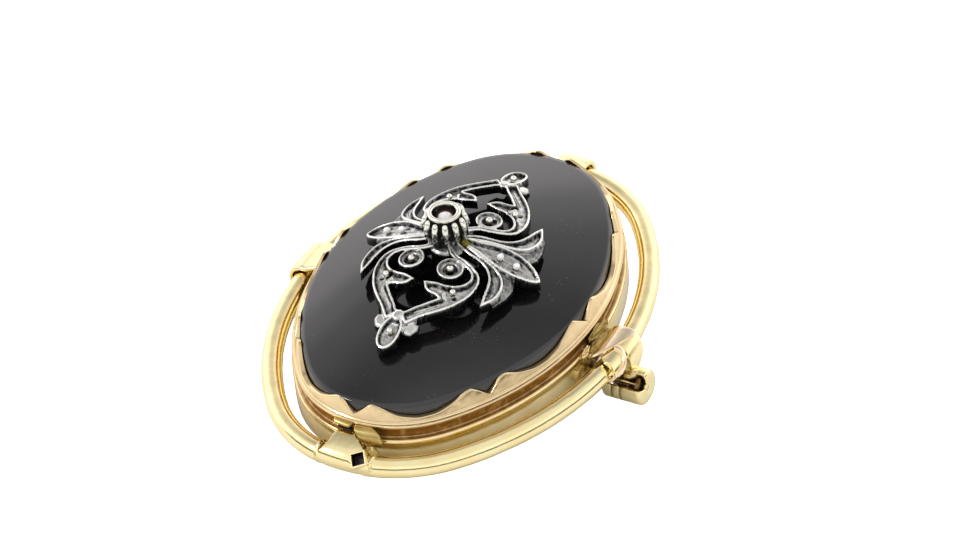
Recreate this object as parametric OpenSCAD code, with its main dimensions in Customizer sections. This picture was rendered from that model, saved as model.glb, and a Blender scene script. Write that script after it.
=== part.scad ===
// Oval pendant brooch: a black onyx in a scalloped gold collar, with an outer wire frame on
// four straps, a silver openwork ornament on the stone, and a pin with a roller catch behind.
// Lengths are millimetres. X runs along the pin, Y along the long axis, Z out of the stone.

/* [Outer wire] */
// Half width of the wire's centre line, along the pin
wire_half_x = 15.96; // [15.5:0.02:16.5]
// Half length of the wire's centre line, across the pin
wire_half_y = 22; // [21.5:0.1:22.5]
// Radius of the two end arcs of the oval
end_arc_r = 12.3; // [12:0.1:12.6]
// Radius of the wire itself
wire_r = 1; // [0.8:0.05:1.1]

/* [Collar] */
// Distance from the wire's centre line in to the base band
band_inset = 1.95; // [1.8:0.05:2.1]
// Underside of the base band, below the wire's centre plane
band_bottom = -0.6; // [-0.8:0.1:-0.2]
// Height of the bearing ledge that the stone sits on
ledge_z = 1.98; // [1.9:0.02:2.1]
// Height of the scallop tips
tip_z = 4.58; // [4.4:0.02:4.8]
// Height of the bottoms of the notches and of the long hollows
notch_z = 3.46; // [3.3:0.02:3.7]
// Half width of a notch, from its bottom to a tip
notch_half = 1.75; // [1.4:0.05:2]

/* [Stone] */
// Height of the middle of the dome
crown_z = 6.2; // [6:0.1:6.5]
// Height of the dome's edge
stone_edge_z = 4.3; // [4.1:0.05:4.45]
// Radius of the drilled hole for the ornament's peg
peg_hole_r = 0.8; // [0.6:0.05:1]

/* [Straps] */
// Outer radius of a strap round the wire
strap_r = 1.75; // [1.6:0.05:1.9]
// Thickness of a strap
strap_wall = 0.5; // [0.4:0.05:0.6]
// Width of a strap along the wire
strap_width = 3; // [2.4:0.1:3.4]
// Side of the square mouth of the pendant socket
socket_side = 1.2; // [1:0.1:1.3]
// Depth of the pendant socket
socket_depth = 1.5; // [1.2:0.1:1.6]

/* [Pin and catch] */
// Height of the pin's axis
pin_z = -2.6; // [-2.8:0.1:-2.5]
// Radius of the pin stem
pin_r = 0.45; // [0.35:0.05:0.5]
// Place of the pin's hinge along X
hinge_x = -14.6; // [-15:0.1:-14.2]
// Radius of the catch barrel
catch_r = 1.7; // [1.6:0.05:1.8]
// Inner end of the catch barrel
catch_x = 15.5; // [15.2:0.1:15.8]
// Length of the catch barrel
catch_length = 4; // [3.8:0.1:4.2]

/* [Ornament] */
// Height of the openwork's top at its middle
ornament_z = 9.25; // [9:0.05:9.4]
// Radius of the openwork's curve across, along X
ornament_curve = 17.1; // [16:0.1:18]
// Radius of its curve along Y
ornament_long_curve = 34.7; // [34:0.1:36]
// Thickness of the openwork
ornament_wall = 1; // [0.8:0.05:1.1]
// Width of the bright rails along its edges
rail = 0.27; // [0.2:0.01:0.3]
// Depth of the recess between two rails
recess = 0.3; // [0.2:0.05:0.4]
// Height of the collet's rim
rim_z = 12; // [11.8:0.1:12.1]
// Radius of the leaf stones
leaf_stone_r = 0.36; // [0.3:0.02:0.4]

/* [Hidden] */
$fn = 64;
side_arc_sides = 256;
end_arc_sides = 192;
dome_sides = 200;
ring_sides = 24;
boss_sides = 16;
hub_sides = 32;
centre_stone_sides = 12;
leaf_stone_sides = 8;
gold = "#e2bd78";
silver = "#b9b9b4";
eps = 0.02;

// The oval: two end arcs and two flatter side arcs that meet them smoothly.
end_shift = wire_half_y - end_arc_r;
side_shift = (pow(end_shift, 2) - pow(wire_half_x - end_arc_r, 2)) / (2 * (wire_half_x - end_arc_r));
side_arc_r = wire_half_x + side_shift;
join_angle = atan2(end_shift, side_shift);

// Insets of the collar's parts from the wire's centre line.
wall_out = -2.6;
wall_in = -2.93;
ledge_in = -3.9;
ledge_under = 1.5;
band_wall = 0.5;
band_top = 1.35;
roll_z = 2.78;
roll_r = 0.5;
roll_top = 3.2;
lip_out = [-2.4, -2.82];
lip_in = -3.08;
band_edge = 0.15;
roll_slope = 0.35;

// The stone, with a small gap to the collar.
stone_gap = 0.07;
girdle = wall_in - stone_gap;
bevel_z = 3;
bevel_slope = 0.11;

// The scallops: a quarter of the rim holds four half repeats, each from a notch to the
// middle of a hollow. Stations are lengths along the rim from the notch.
rim_inset = (lip_out[0] + lip_in) / 2;
side_length = (side_arc_r + rim_inset) * join_angle * PI / 180;
quarter = side_length + (end_arc_r + rim_inset) * (90 - join_angle) * PI / 180;
half_repeat = quarter / 4;
half_stations = [0, 0.5, 1, 1.4, notch_half, 2.1, 2.9, 4.1, 5.3];
wire_stations = 16;
wire_sides = 10;

// The straps: where the solder below the wire begins, and the bridge to the collar.
solder_from = -0.3;
bridge = [[wall_out - 0.2, 1.75], [wall_out - 0.2, 2.75], [-1.9, 2.7], [-0.5, strap_r - 0.05],
          [-0.9, strap_r - strap_wall - 0.1]];

// A cut stone: shares of its radius at the base, the upper girdle and the table, and shares of
// its height at the two girdles.
stone_shares = [0.92, 0.78, 0.5];
stone_levels = [0.35, 0.75];

// The near strap is wider than the others: its shift along X and its width.
near_strap = [0.35, 4.4];

// The pendant socket in the near strap: it looks up and outwards, and is turned a little.
socket_x = 1.95;
socket_lean = 45;
socket_twist = 30;
socket_rim = 0.25;
socket_out = 1.8;

// The catch: angles are measured from +Y towards +Z round the pin.
catch_bore = 1.2;
catch_bore_length = catch_length - 0.8;
throat = 3;
catch_dome_r = 2.3;
groove_at = [0.6, 1.4];
groove = [0.12, 0.15];
groove_span = [162, 282];
window = [100, 158];
pin_slot = 1.3;
roller_play = 0.05;
roller_r = catch_bore - roller_play;
roller_wall = 0.53;
roller_span = [-25, 80];
roller_out = 1;
roller_disc = 0.35;
tab_angle = 20;
tab_r = 1.95;
tab = [0.7, 0.5];
post_r = 1.15;
post_foot = 0.5;
post_at = [[15.7, 0, -0.2], [17.75, -0.2, 0.9]];

// The hinge.
eye_r = 1.1;
eye_width = 1.1;
rivet_r = pin_r - 0.03;
ear_gap = 0.62;
ear_wall = 0.65;
ear_from = -1.1;
ear_length = 2.1;
ear_root = 0.4;
pin_tip_x = 18.2;

// The pin's stout root and its long point: length of each, and radius at the far end.
pin_root = [2, 0.55];
pin_point = [4, 0.14];

// How it lies: on the catch, the hinge and the strap with the socket.
rest_tilt = atan2(-pin_z, wire_half_y) - asin((strap_r - catch_r) / norm([wire_half_y, pin_z]));
floor_z = pin_z * cos(rest_tilt) - catch_r;
ear_r = (catch_r - (ear_gap + ear_wall) * sin(rest_tilt)) / cos(rest_tilt);
middle_x = (catch_x + catch_length - wire_half_x - strap_r) / 2;

// The openwork, one quarter of it: x, y and width at each station. The barb and the bud are
// outlines of x and y.
limb = [[0.9, 1.5, 0.7], [2.2, 2.4, 0.85], [3.4, 2.85, 1], [4.2, 3.45, 1.15], [4.48, 4.45, 1.3],
        [4.15, 5.7, 1.5], [3.3, 7, 1.6], [1.95, 8.5, 1.5], [0.1, 10.3, 0.9]];
barb = [[3.9, 4.6], [3.2, 5.35], [2.4, 5.6], [1.65, 5.62], [1, 5.8], [0.52, 5.93], [0.8, 6.35],
        [1.05, 6.68], [1.6, 6.92], [2.2, 6.95], [2.62, 7.1], [3.6, 6.6], [4.2, 5.4]];
side_leaf = [[1.6, 0.6, 0.5], [3.6, 1.15, 0.6], [5, 1.6, 0.9], [6.2, 2.4, 1.35],
             [6.65, 3.5, 1.35], [6.4, 4.6, 0.85], [6.05, 5.7, 0.1]];
scroll_at = [1.9, 3.7];
scroll_r = 0.95;
scroll_width = 0.44;
scroll_lean = -17;

bud = [[0.5, 10.2], [1.5, 10], [2.15, 10.05], [2.2, 10.6], [1.8, 11.3], [1.2, 11.35], [0.6, 10.8]];

// The parts that lie on an axis of the oval.
centre_leaf = [[1.3, 0, 0.8], [3.4, 0, 1.5], [4.8, 0, 2.3], [6.2, 0, 2.7], [7.5, 0, 2.1],
               [8.4, 0, 1.1], [9, 0, 0.1]];
end_lobe = [[0, 10, 1], [0, 10.7, 1.3], [0, 11.2, 1.85], [0, 11.8, 2.05], [0, 12.4, 1.9],
            [0, 12.85, 1.3], [0, 13.1, 0.4]];
// The boss where each pair of limbs meets: place along Y and radius.
boss = [10.3, 0.8];

// Grains: x, y and radius. Their middles lie a little below the openwork's top.
grain_sink = 0.1;
grains = [[3.35, 5.95, 0.3], [1.9, 3.7, 0.36]];
end_grains = [[0, 11.75, 0.32], [0, 10.3, 0.4]];
hub_r = 2.2;

// The whole openwork sits a little to one side.
ornament_x = -0.2;

// The collet, a fluted barrel a little off the middle: radius and height at each station.
collet_at = [-0.6, 0.1];
collet = [[1.5, 6.3], [1.5, 8.3], [1.75, 8.8], [1.98, 9.6], [2.05, 10.4], [1.95, 10.95],
          [1.66, 11.5], [1.45, 11.8]];
collet_top = 11.8;
claws = 16;
claw_r = 0.2;
claw_foot = [2.06, 9.75];
claw_head = [1.7, 11.45];
claw_bead_r = 0.24;
cup_r = 1.16;
cup_z = 11.3;
rim_tube = 0.18;
peg_r = peg_hole_r - 0.08;

// The stones: heights, and x and y of the leaf stones.
centre_stone_h = 0.62;
leaf_stone_h = 0.42;
leaf_stones = [[5.1, 0], [6.7, 0], [-5.1, 0], [-6.7, 0]];

// Lays the model down as it rests, with the middle of its outline over the origin.
module lie() {
    translate([-middle_x, 0, -floor_z])
        rotate([rest_tilt, 0, 0])
            children();
}

// Turns a shape that stands along Z so that it lies along X, with its X side towards Y.
module along_x() {
    rotate([90, 0, 90]) children();
}

// Sweeps a section, drawn as inset and height, round the whole oval.
module round_oval() {
    for (end = [0, 180]) {
        rotate([0, 0, end]) {
            translate([-side_shift, 0, 0])
                rotate_extrude(angle = 2 * join_angle, start = -join_angle, $fn = side_arc_sides)
                    translate([side_arc_r, 0]) children();
            translate([0, end_shift, 0])
                rotate_extrude(angle = 180 - 2 * join_angle, start = join_angle, $fn = end_arc_sides)
                    translate([end_arc_r, 0]) children();
        }
    }
}

// The filled oval at an inset, as a plate.
module oval_plate(inset, bottom, top) {
    join_y = end_shift + (end_arc_r + inset) * sin(join_angle);
    translate([0, 0, bottom]) linear_extrude(top - bottom) {
        for (side = [-1, 1])
            translate([0, side * end_shift]) circle(r = end_arc_r + inset, $fn = end_arc_sides);
        intersection() {
            translate([-side_shift, 0]) circle(r = side_arc_r + inset, $fn = side_arc_sides);
            translate([side_shift, 0]) circle(r = side_arc_r + inset, $fn = side_arc_sides);
            square([2 * wire_half_x, 2 * join_y], center = true);
        }
    }
}

// A point of one quarter, from a length s along the rim and an inset.
function quarter_point(s, inset) =
    s < side_length
        ? let (a = s / side_length * join_angle, r = side_arc_r + inset)
            [r * cos(a) - side_shift, r * sin(a)]
        : let (a = join_angle + (s - side_length) / (end_arc_r + rim_inset) * 180 / PI,
               r = end_arc_r + inset)
            [r * cos(a), r * sin(a) + end_shift];

// The same for the whole oval, where the quarters are mirror images.
function oval_point(s, inset) =
    let (turn = floor(s / quarter + 1e-6), rest = s - turn * quarter,
         p = quarter_point(turn % 2 == 0 ? rest : quarter - rest, inset))
    [turn == 1 || turn == 2 ? -p[0] : p[0], turn > 1 ? -p[1] : p[1]];

// Height of the scalloped edge: an ogee from a notch up to its tip, then a long hollow.
function edge_z(s) =
    let (part = s / half_repeat - 2 * floor(s / half_repeat / 2 + 1e-6),
         d = (part > 1 ? 2 - part : part) * half_repeat,
         v = d / notch_half, w = (half_repeat - d) / (half_repeat - notch_half))
    notch_z + (tip_z - notch_z)
        * (d < notch_half ? 1.2 * v - 0.2 * pow(v, 6) : 1.2 * w * w - 0.2 * pow(w, 12));

function mix(a, b, f) = a + (b - a) * f;

// The collar's section at one station: base band, groove, roll, lip and bearing ledge.
function collar_section(top) =
    let (lip = mix(lip_out[0], lip_out[1], (top - roll_top) / (tip_z - roll_top)),
         back = mix(wall_in, lip_in, (top - bevel_z) / (tip_z - bevel_z)),
         roll = wall_out + roll_r)
    [[-band_inset, band_bottom], [-band_inset, band_top - band_edge], [-band_inset - band_edge, band_top],
     [wall_out, band_top], [wall_out, roll_z - roll_r], [roll - band_edge, roll_z - roll_slope],
     [roll, roll_z], [roll - band_edge, roll_z + roll_slope], [lip_out[0], roll_top],
     [lip, top], [back, top], [wall_in, bevel_z], [wall_in, ledge_z], [ledge_in, ledge_z],
     [ledge_in, ledge_under], [-band_inset - band_wall, ledge_under],
     [-band_inset - band_wall, band_bottom]];

// A closed ring through one section for each station; sections are inset and height.
module swept_ring(stations, sections) {
    n = len(stations);
    m = len(sections[0]);
    points = [for (i = [0:n - 1], q = sections[i])
        let (p = oval_point(stations[i], q[0])) [p[0], p[1], q[1]]];
    faces = [for (i = [0:n - 1], k = [0:m - 1])
        let (a = i * m + k, b = i * m + (k + 1) % m, c = (i + 1) % n * m + k,
             d = (i + 1) % n * m + (k + 1) % m)
        each [[a, b, d], [a, d, c]]];
    polyhedron(points, faces);
}

module collar() {
    count = len(half_stations);
    stations = concat(
        [for (h = [0:15], i = [0:count - 1])
            h % 2 == 0 ? h * half_repeat + half_stations[i]
                       : i == 0 ? h * half_repeat : (h + 1) * half_repeat - half_stations[count - i]]);
    swept_ring(stations, [for (s = stations) collar_section(edge_z(s))]);
}

module outer_wire() {
    stations = [for (i = [0:4 * wire_stations - 1]) i * quarter / wire_stations];
    circle_points = [for (k = [0:wire_sides - 1])
        let (a = (k + 0.5) * 360 / wire_sides) [wire_r * cos(a), wire_r * sin(a)]];
    swept_ring(stations, [for (s = stations) circle_points]);
}

// Repeats a shape drawn in one quarter in all four.
module four_quarters() {
    for (mx = [0, 1], my = [0, 1])
        mirror([mx, 0, 0]) mirror([0, my, 0]) children();
}

// A strap's section: a hoop round the wire with a bridge to the collar.
module strap_section() {
    difference() {
        circle(r = strap_r);
        difference() {
            circle(r = strap_r - strap_wall);
            translate([solder_from, -strap_r]) square([strap_r, strap_r]);
        }
    }
    polygon(bridge);
}

module strap(angle, half_length, width) {
    rotate([0, 0, angle]) translate([half_length, 0, 0])
        rotate([90, 0, 0]) linear_extrude(width, center = true) strap_section();
}

// The square socket in the near strap, where a pendant fitting slides in.
module socket_place() {
    translate([socket_x, -wire_half_y, 0]) rotate([socket_lean, 0, 0]) rotate([0, 0, socket_twist])
        children();
}

module socket_block() {
    half = socket_side / 2 + socket_rim;
    intersection() {
        socket_place() translate([-half, -half, 0]) cube([2 * half, 2 * half, socket_out]);
        translate([0, -wire_half_y, 0]) rotate([0, 90, 0])
            cylinder(r = socket_out, h = 2 * near_strap[1]);
    }
}

module socket_mouth() {
    socket_place() translate([-socket_side / 2, -socket_side / 2, socket_out - socket_depth])
        cube([socket_side, socket_side, socket_depth + eps]);
}

// The catch barrel, round inside and domed at its outer end, with the posts that carry it.
module catch_body() {
    translate([catch_x, 0, pin_z]) along_x() intersection() {
        cylinder(r = catch_r, h = catch_length);
        translate([0, 0, catch_length - catch_dome_r]) sphere(r = catch_dome_r);
    }
    for (p = post_at)
        translate([p[0], p[1], pin_z + post_foot]) cylinder(r = post_r, h = p[2] - pin_z - post_foot);
}

// What is cut from the barrel: bore, window, the pin's slot below and two fine grooves.
module catch_cuts() {
    translate([catch_x, 0, pin_z]) along_x() {
        translate([0, 0, -throat]) cylinder(r = catch_bore, h = catch_bore_length + throat);
        rotate([0, 0, window[0]]) translate([0, 0, -eps])
            rotate_extrude(angle = window[1] - window[0]) square([tab_r, catch_bore_length]);
        for (at = groove_at) translate([0, 0, at])
            rotate_extrude(angle = groove_span[1] - groove_span[0], start = groove_span[0])
                translate([catch_r - groove[1], 0]) square([2 * groove[1], groove[0]]);
    }
    translate([catch_x - eps, -pin_slot / 2, pin_z - tab_r])
        cube([catch_bore_length + eps, pin_slot, tab_r]);
}

// The hinge's two ears with the rivet between them.
module hinge_ears() {
    for (side = [-1, 1]) translate([hinge_x, side * (ear_gap + ear_wall / 2), pin_z]) {
        rotate([90, 0, 0]) cylinder(r = ear_r, h = ear_wall, center = true);
        translate([ear_from, -ear_wall / 2, 0])
            cube([ear_length, ear_wall, band_bottom + ear_root - pin_z]);
    }
    translate([hinge_x, 0, pin_z]) rotate([90, 0, 0])
        cylinder(r = rivet_r, h = 2 * ear_gap + ear_wall, center = true);
}

module mount() {
    color(gold) lie() difference() {
        union() {
            collar();
            outer_wire();
            strap(0, wire_half_x, strap_width);
            strap(90, wire_half_y, strap_width);
            strap(180, wire_half_x, strap_width);
            translate([near_strap[0], 0, 0]) strap(270, wire_half_y, near_strap[1]);
            socket_block();
            catch_body();
            hinge_ears();
        }
        socket_mouth();
        catch_cuts();
    }
}

// The top of a large ring: a dome with one radius across, along X, and one along Y. A drop
// makes it thinner all round.
module dome(top, r, long_r, drop = 0) {
    translate([0, 0, top - long_r]) rotate([0, 90, 0])
        rotate_extrude($fn = dome_sides) translate([long_r - r, 0])
            circle(r = r - drop, $fn = dome_sides);
}

// Radius of an arc that drops this much over a half width.
function arc_radius(half, drop) = (pow(half, 2) + pow(drop, 2)) / (2 * drop);

module onyx() {
    rise = crown_z - stone_edge_z;
    bevel = girdle - (crown_z - bevel_z) * bevel_slope;
    color("#141213") lie() difference() {
        intersection() {
            oval_plate(girdle, ledge_z + eps, crown_z + eps);
            dome(crown_z, arc_radius(wire_half_x + girdle, rise), arc_radius(wire_half_y + girdle, rise));
        }
        round_oval() polygon([[girdle, bevel_z], [0, bevel_z], [0, crown_z], [bevel, crown_z]]);
        translate([0, 0, ledge_z]) cylinder(r = peg_hole_r, h = crown_z);
    }
}

// Height of the openwork's domed top over a point.
function top_z(p) = ornament_z - ornament_long_curve
    + sqrt(pow(ornament_long_curve - ornament_curve + sqrt(pow(ornament_curve, 2) - pow(p[0], 2)), 2)
           - pow(p[1], 2));

// A smooth curve through a table's rows, step by step.
function curve(t, steps) = let (n = len(t) - 1)
    [for (i = [0:n - 1], k = [0:steps - 1]) blend(t, i, k / steps), t[n]];

function blend(t, i, f) =
    let (a = t[max(i - 1, 0)], b = t[i], c = t[i + 1], d = t[min(i + 2, len(t) - 1)])
    0.5 * (2 * b + (c - a) * f + (2 * a - 5 * b + 4 * c - d) * f * f
           + (3 * b - a - 3 * c + d) * f * f * f);

// The edge of a ribbon beside one station of its path.
function beside(path, i, side) =
    let (a = path[max(i - 1, 0)], b = path[min(i + 1, len(path) - 1)],
         l = norm([b[0] - a[0], b[1] - a[1]]) / (side * path[i][2] / 2))
    [path[i][0] + (b[1] - a[1]) / l, path[i][1] + (a[0] - b[0]) / l];

// A flat ribbon along a path of x, y and width.
module ribbon(path) {
    n = len(path) - 1;
    polygon(concat([for (i = [0:n]) beside(path, i, 1)], [for (i = [n:-1:0]) beside(path, i, -1)]));
}

// A scroll's ring, with the bar across it that carries a grain.
module scroll() {
    translate(scroll_at) {
        difference() {
            circle(r = scroll_r + scroll_width / 2, $fn = ring_sides);
            circle(r = scroll_r - scroll_width / 2, $fn = ring_sides);
        }
        rotate([0, 0, scroll_lean]) square([2 * scroll_r, scroll_width], center = true);
    }
}

// The openwork seen from above. Its stems meet at the hub.
module outline() {
    four_quarters() {
        ribbon(curve(limb, 2));
        polygon(barb);
        ribbon(curve(side_leaf, 2));
        polygon(bud);
        scroll();
    }
    for (turn = [0, 180]) rotate([0, 0, turn]) {
        ribbon(curve(centre_leaf, 2));
        ribbon(curve(end_lobe, 2));
        translate([0, boss[0]]) circle(r = boss[1], $fn = boss_sides);
    }
    circle(r = hub_r, $fn = hub_sides);
}

module grain(g) {
    translate([g[0], g[1], top_z(g) - grain_sink]) sphere(r = g[2]);
}

// The outline cut through a thin dome, with a recess between the rails along its edges.
module openwork() {
    translate([ornament_x, 0, 0]) {
        difference() {
            intersection() {
                linear_extrude(rim_z) offset(delta = eps) outline();
                dome(ornament_z, ornament_curve, ornament_long_curve);
            }
            dome(ornament_z, ornament_curve, ornament_long_curve, ornament_wall);
            difference() {
                linear_extrude(rim_z + eps) offset(delta = -rail) outline();
                dome(ornament_z, ornament_curve, ornament_long_curve, recess);
            }
        }
        four_quarters() for (g = grains) grain(g);
        for (turn = [0, 180]) rotate([0, 0, turn]) for (g = end_grains) grain(g);
    }
}

// The collet: a lathe-turned barrel with claws round it and a raised rim.
module fluted_collet() {
    lean = atan2(claw_foot[0] - claw_head[0], claw_head[1] - claw_foot[1]);
    translate([collet_at[0], collet_at[1], 0]) {
        difference() {
            rotate_extrude() polygon(concat([[0, collet[0][1]]], collet, [[0, collet_top]]));
            translate([0, 0, cup_z]) cylinder(r = cup_r, h = rim_z - cup_z);
        }
        translate([0, 0, rim_z - rim_tube])
            rotate_extrude() translate([cup_r + rim_tube, 0]) circle(r = rim_tube);
        for (i = [0:claws - 1]) rotate([0, 0, i * 360 / claws]) {
            translate([claw_foot[0], 0, claw_foot[1]]) rotate([0, -lean, 0])
                cylinder(r = claw_r, h = norm(claw_head - claw_foot));
            translate([claw_head[0], 0, claw_head[1]]) sphere(r = claw_bead_r);
        }
    }
    translate([0, 0, ledge_z]) cylinder(r = peg_r, h = collet[1][1] - ledge_z);
}

module ornament() {
    color(silver) lie() union() {
        openwork();
        fluted_collet();
    }
}

// A cut stone with a flat table, two rings of facets and a flat back.
module cut_stone(r, height, sides) {
    hull() {
        cylinder(r = stone_shares[0] * r, h = eps, $fn = sides);
        translate([0, 0, stone_levels[0] * height]) cylinder(r = r, h = eps, $fn = sides);
        translate([0, 0, stone_levels[1] * height]) rotate([0, 0, 180 / sides])
            cylinder(r = stone_shares[1] * r, h = eps, $fn = sides);
        translate([0, 0, height - eps]) cylinder(r = stone_shares[2] * r, h = eps, $fn = sides);
    }
}

module centre_stone() {
    color("#cfc9c4") lie() translate([collet_at[0], collet_at[1], cup_z + eps])
        cut_stone(cup_r - stone_gap, centre_stone_h, centre_stone_sides);
}

module leaf_stone(index) {
    p = leaf_stones[index];
    color("#e6e4e0") lie() translate([p[0] + ornament_x, p[1], top_z(p) - recess + eps])
        rotate([0, asin(p[0] / ornament_curve), 0])
            cut_stone(leaf_stone_r, leaf_stone_h, leaf_stone_sides);
}

module leaf_stone_1() { leaf_stone(0); }
module leaf_stone_2() { leaf_stone(1); }
module leaf_stone_3() { leaf_stone(2); }
module leaf_stone_4() { leaf_stone(3); }

module pin_stem() {
    end_x = pin_tip_x - pin_point[0] - hinge_x;
    color("#e8c98c") lie() translate([hinge_x, 0, pin_z]) difference() {
        union() {
            rotate([90, 0, 0]) cylinder(r = eye_r, h = eye_width, center = true);
            along_x() {
                cylinder(r1 = pin_root[1], r2 = pin_r, h = pin_root[0]);
                translate([0, 0, pin_root[0]]) cylinder(r = pin_r, h = end_x - pin_root[0]);
                translate([0, 0, end_x])
                    cylinder(r1 = pin_r, r2 = pin_point[1], h = pin_point[0]);
            }
        }
        rotate([90, 0, 0]) cylinder(r = pin_r, h = 2 * eye_width, center = true);
    }
}

// The roller: a part sleeve round the pin's tip, a disc at its outer end and a thumb tab.
module catch_roller() {
    inner = roller_r - roller_wall;
    sleeve = catch_bore_length - roller_disc - roller_play;
    color("#dcb873") lie() translate([catch_x, 0, pin_z]) along_x() {
        rotate_extrude(angle = roller_span[1] - roller_span[0], start = roller_span[0])
            translate([inner, -roller_out]) square([roller_wall, sleeve + roller_out]);
        translate([0, 0, sleeve - eps]) cylinder(r = roller_r, h = roller_disc);
        rotate([0, 0, tab_angle]) translate([roller_r - roller_wall / 2, -tab[1] / 2, -roller_out])
            cube([tab_r - roller_r + roller_wall / 2, tab[1], tab[0]]);
    }
}

mount();
onyx();
ornament();
centre_stone();
leaf_stone_1();
leaf_stone_2();
leaf_stone_3();
leaf_stone_4();
pin_stem();
catch_roller();
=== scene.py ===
# %% [markdown]
# # An oval onyx brooch
#
# The brooch has a black onyx dome in a scalloped gold collar, a round gold wire that runs round
# it on four straps, and a small oxidised silver ornament in the middle. A pin and a roller catch
# sit behind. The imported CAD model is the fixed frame: it gives every size and the way the
# joints move. This script builds the finer shapes over it and gives each surface its finish.

# %% Load the frame
import math
import bmesh
import bpy
import numpy as np
from mathutils import Matrix, Vector, noise


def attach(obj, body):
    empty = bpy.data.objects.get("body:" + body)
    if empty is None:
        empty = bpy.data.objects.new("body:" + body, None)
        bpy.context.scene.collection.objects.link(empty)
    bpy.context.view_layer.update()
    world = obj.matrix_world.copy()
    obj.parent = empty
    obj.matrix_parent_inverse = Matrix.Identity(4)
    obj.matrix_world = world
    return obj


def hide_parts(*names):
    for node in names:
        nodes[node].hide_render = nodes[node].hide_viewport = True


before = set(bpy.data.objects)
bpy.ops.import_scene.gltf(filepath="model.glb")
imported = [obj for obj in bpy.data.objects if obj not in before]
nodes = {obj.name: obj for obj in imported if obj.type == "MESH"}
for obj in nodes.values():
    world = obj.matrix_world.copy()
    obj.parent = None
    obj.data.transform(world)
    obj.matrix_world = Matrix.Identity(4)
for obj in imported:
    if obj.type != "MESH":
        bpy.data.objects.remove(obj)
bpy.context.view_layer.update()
print("nodes:", sorted(nodes))

# %% [markdown]
# ## The brooch's own frame
#
# All shapes are drawn flat and in millimetres, with the middle of the wire's oval at the origin,
# X along the pin and Y along the long axis. On the table the brooch lies on its catch, its
# hinge and one strap, so it leans a little. One matrix does that for every piece: it turns the
# drawing about X, lifts it onto the floor and turns millimetres into metres.

# %% Lay the drawing down as the brooch rests
MM = 0.001
rest_tilt = math.radians(6.610738)
rest = (Matrix.Translation(Vector((-0.895, 0, 4.282713)) * MM)
        @ Matrix.Rotation(rest_tilt, 4, "X") @ Matrix.Scale(MM, 4))
print("tilt at rest:", round(math.degrees(rest_tilt), 2), "degrees")

# %% [markdown]
# ## Making a piece
#
# Each piece is written as points and faces, because that gives full say over its section and
# its edges. A number called hollow can go with each point, from 0 in the open to 1 deep in a
# corner, for the finishes to darken: it stands for dirt and oxide, and it also paints the shade in
# corners and under parts. Every piece rides on one body of the CAD model, and says which CAD
# node it stands for.


# %% Helpers for a piece
def new_piece(name, points, faces, material, body="brooch", smooth=True, hollow=None):
    """Makes a mesh piece from points in drawing millimetres, with its finish and its body."""
    mesh = bpy.data.meshes.new(name)
    mesh.from_pydata([rest @ Vector(p) for p in points], [], faces)
    mesh.validate()
    mesh.polygons.foreach_set("use_smooth", [smooth] * len(mesh.polygons))
    if hollow is not None:
        depth = mesh.attributes.new("hollow", "FLOAT", "POINT")
        depth.data.foreach_set("value", hollow)
    mesh.materials.append(material)
    piece = bpy.data.objects.new(name, mesh)
    bpy.context.scene.collection.objects.link(piece)
    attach(piece, body)
    return piece


def face_outwards(piece):
    """Turns all faces of a closed mesh outwards."""
    mesh = bmesh.new()
    mesh.from_mesh(piece.data)
    bmesh.ops.recalc_face_normals(mesh, faces=mesh.faces)
    mesh.to_mesh(piece.data)
    mesh.free()
    return piece


def soft_edges(piece, width, steps=2, angle=35):
    """Rounds the sharp edges of a piece by a width in mm, as a file and polish do."""
    bevel = piece.modifiers.new("soft_edges", "BEVEL")
    bevel.width = width * MM
    bevel.segments = steps
    bevel.limit_method = "ANGLE"
    bevel.angle_limit = math.radians(angle)
    bevel.harden_normals = False
    return piece


def stand_for(pieces, node):
    """Hides the CAD node that the pieces replace."""
    for piece in pieces:
        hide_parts(node)


# %% [markdown]
# ## Camera
#
# The photograph looks down at the brooch from the near right, a little from above, with a long
# lens. The three directions below are the picture's right, its up and the way back to the
# lens, all in the drawing's frame. The camera aims a little off the brooch's middle, by so many
# pixels of a picture 960 wide, so that the brooch lands in its place without any lens shift.

# %% Set the camera
view_right = Vector((0.8721368, 0.4801400, -0.0940374))
view_up = Vector((-0.2447591, 0.5945852, 0.7658730))
view_back = Vector((0.4236395, -0.6449295, 0.6360782))
view_distance = 700
picture_wide, pixels_per_mm, sensor_wide = 960, 10.94, 36
aim_right, aim_up = 18.5, 44.3
aim = (view_right * aim_right + view_up * aim_up) / pixels_per_mm
eye = view_back * view_distance
turn = Matrix.Rotation(rest_tilt, 3, "X")
look = (turn @ (eye - aim)).normalized()
side = (turn @ view_up).cross(look).normalized()
camera_data = bpy.data.cameras.new("camera")
camera_data.sensor_width = sensor_wide
camera_data.lens = pixels_per_mm * view_distance / picture_wide * sensor_wide
camera_data.clip_start = 0.05
camera_data.clip_end = 20
camera = bpy.data.objects.new("camera", camera_data)
axes = Matrix((side, look.cross(side), look)).transposed().to_4x4()
camera.matrix_world = Matrix.Translation(rest @ eye) @ axes
bpy.context.scene.collection.objects.link(camera)
bpy.context.scene.camera = camera
print("lens", round(camera_data.lens, 1), "mm, height", round(camera.location.z, 3), "m")

# %% [markdown]
# ## Floor and light
#
# Jewellery is photographed on white, between large white panels, because polished gold shows
# whatever stands around it. The floor could be lit until it is white, but then the metal would
# burn out too. So it is matt and pale, and glows only for the rays that come from the camera.

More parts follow.
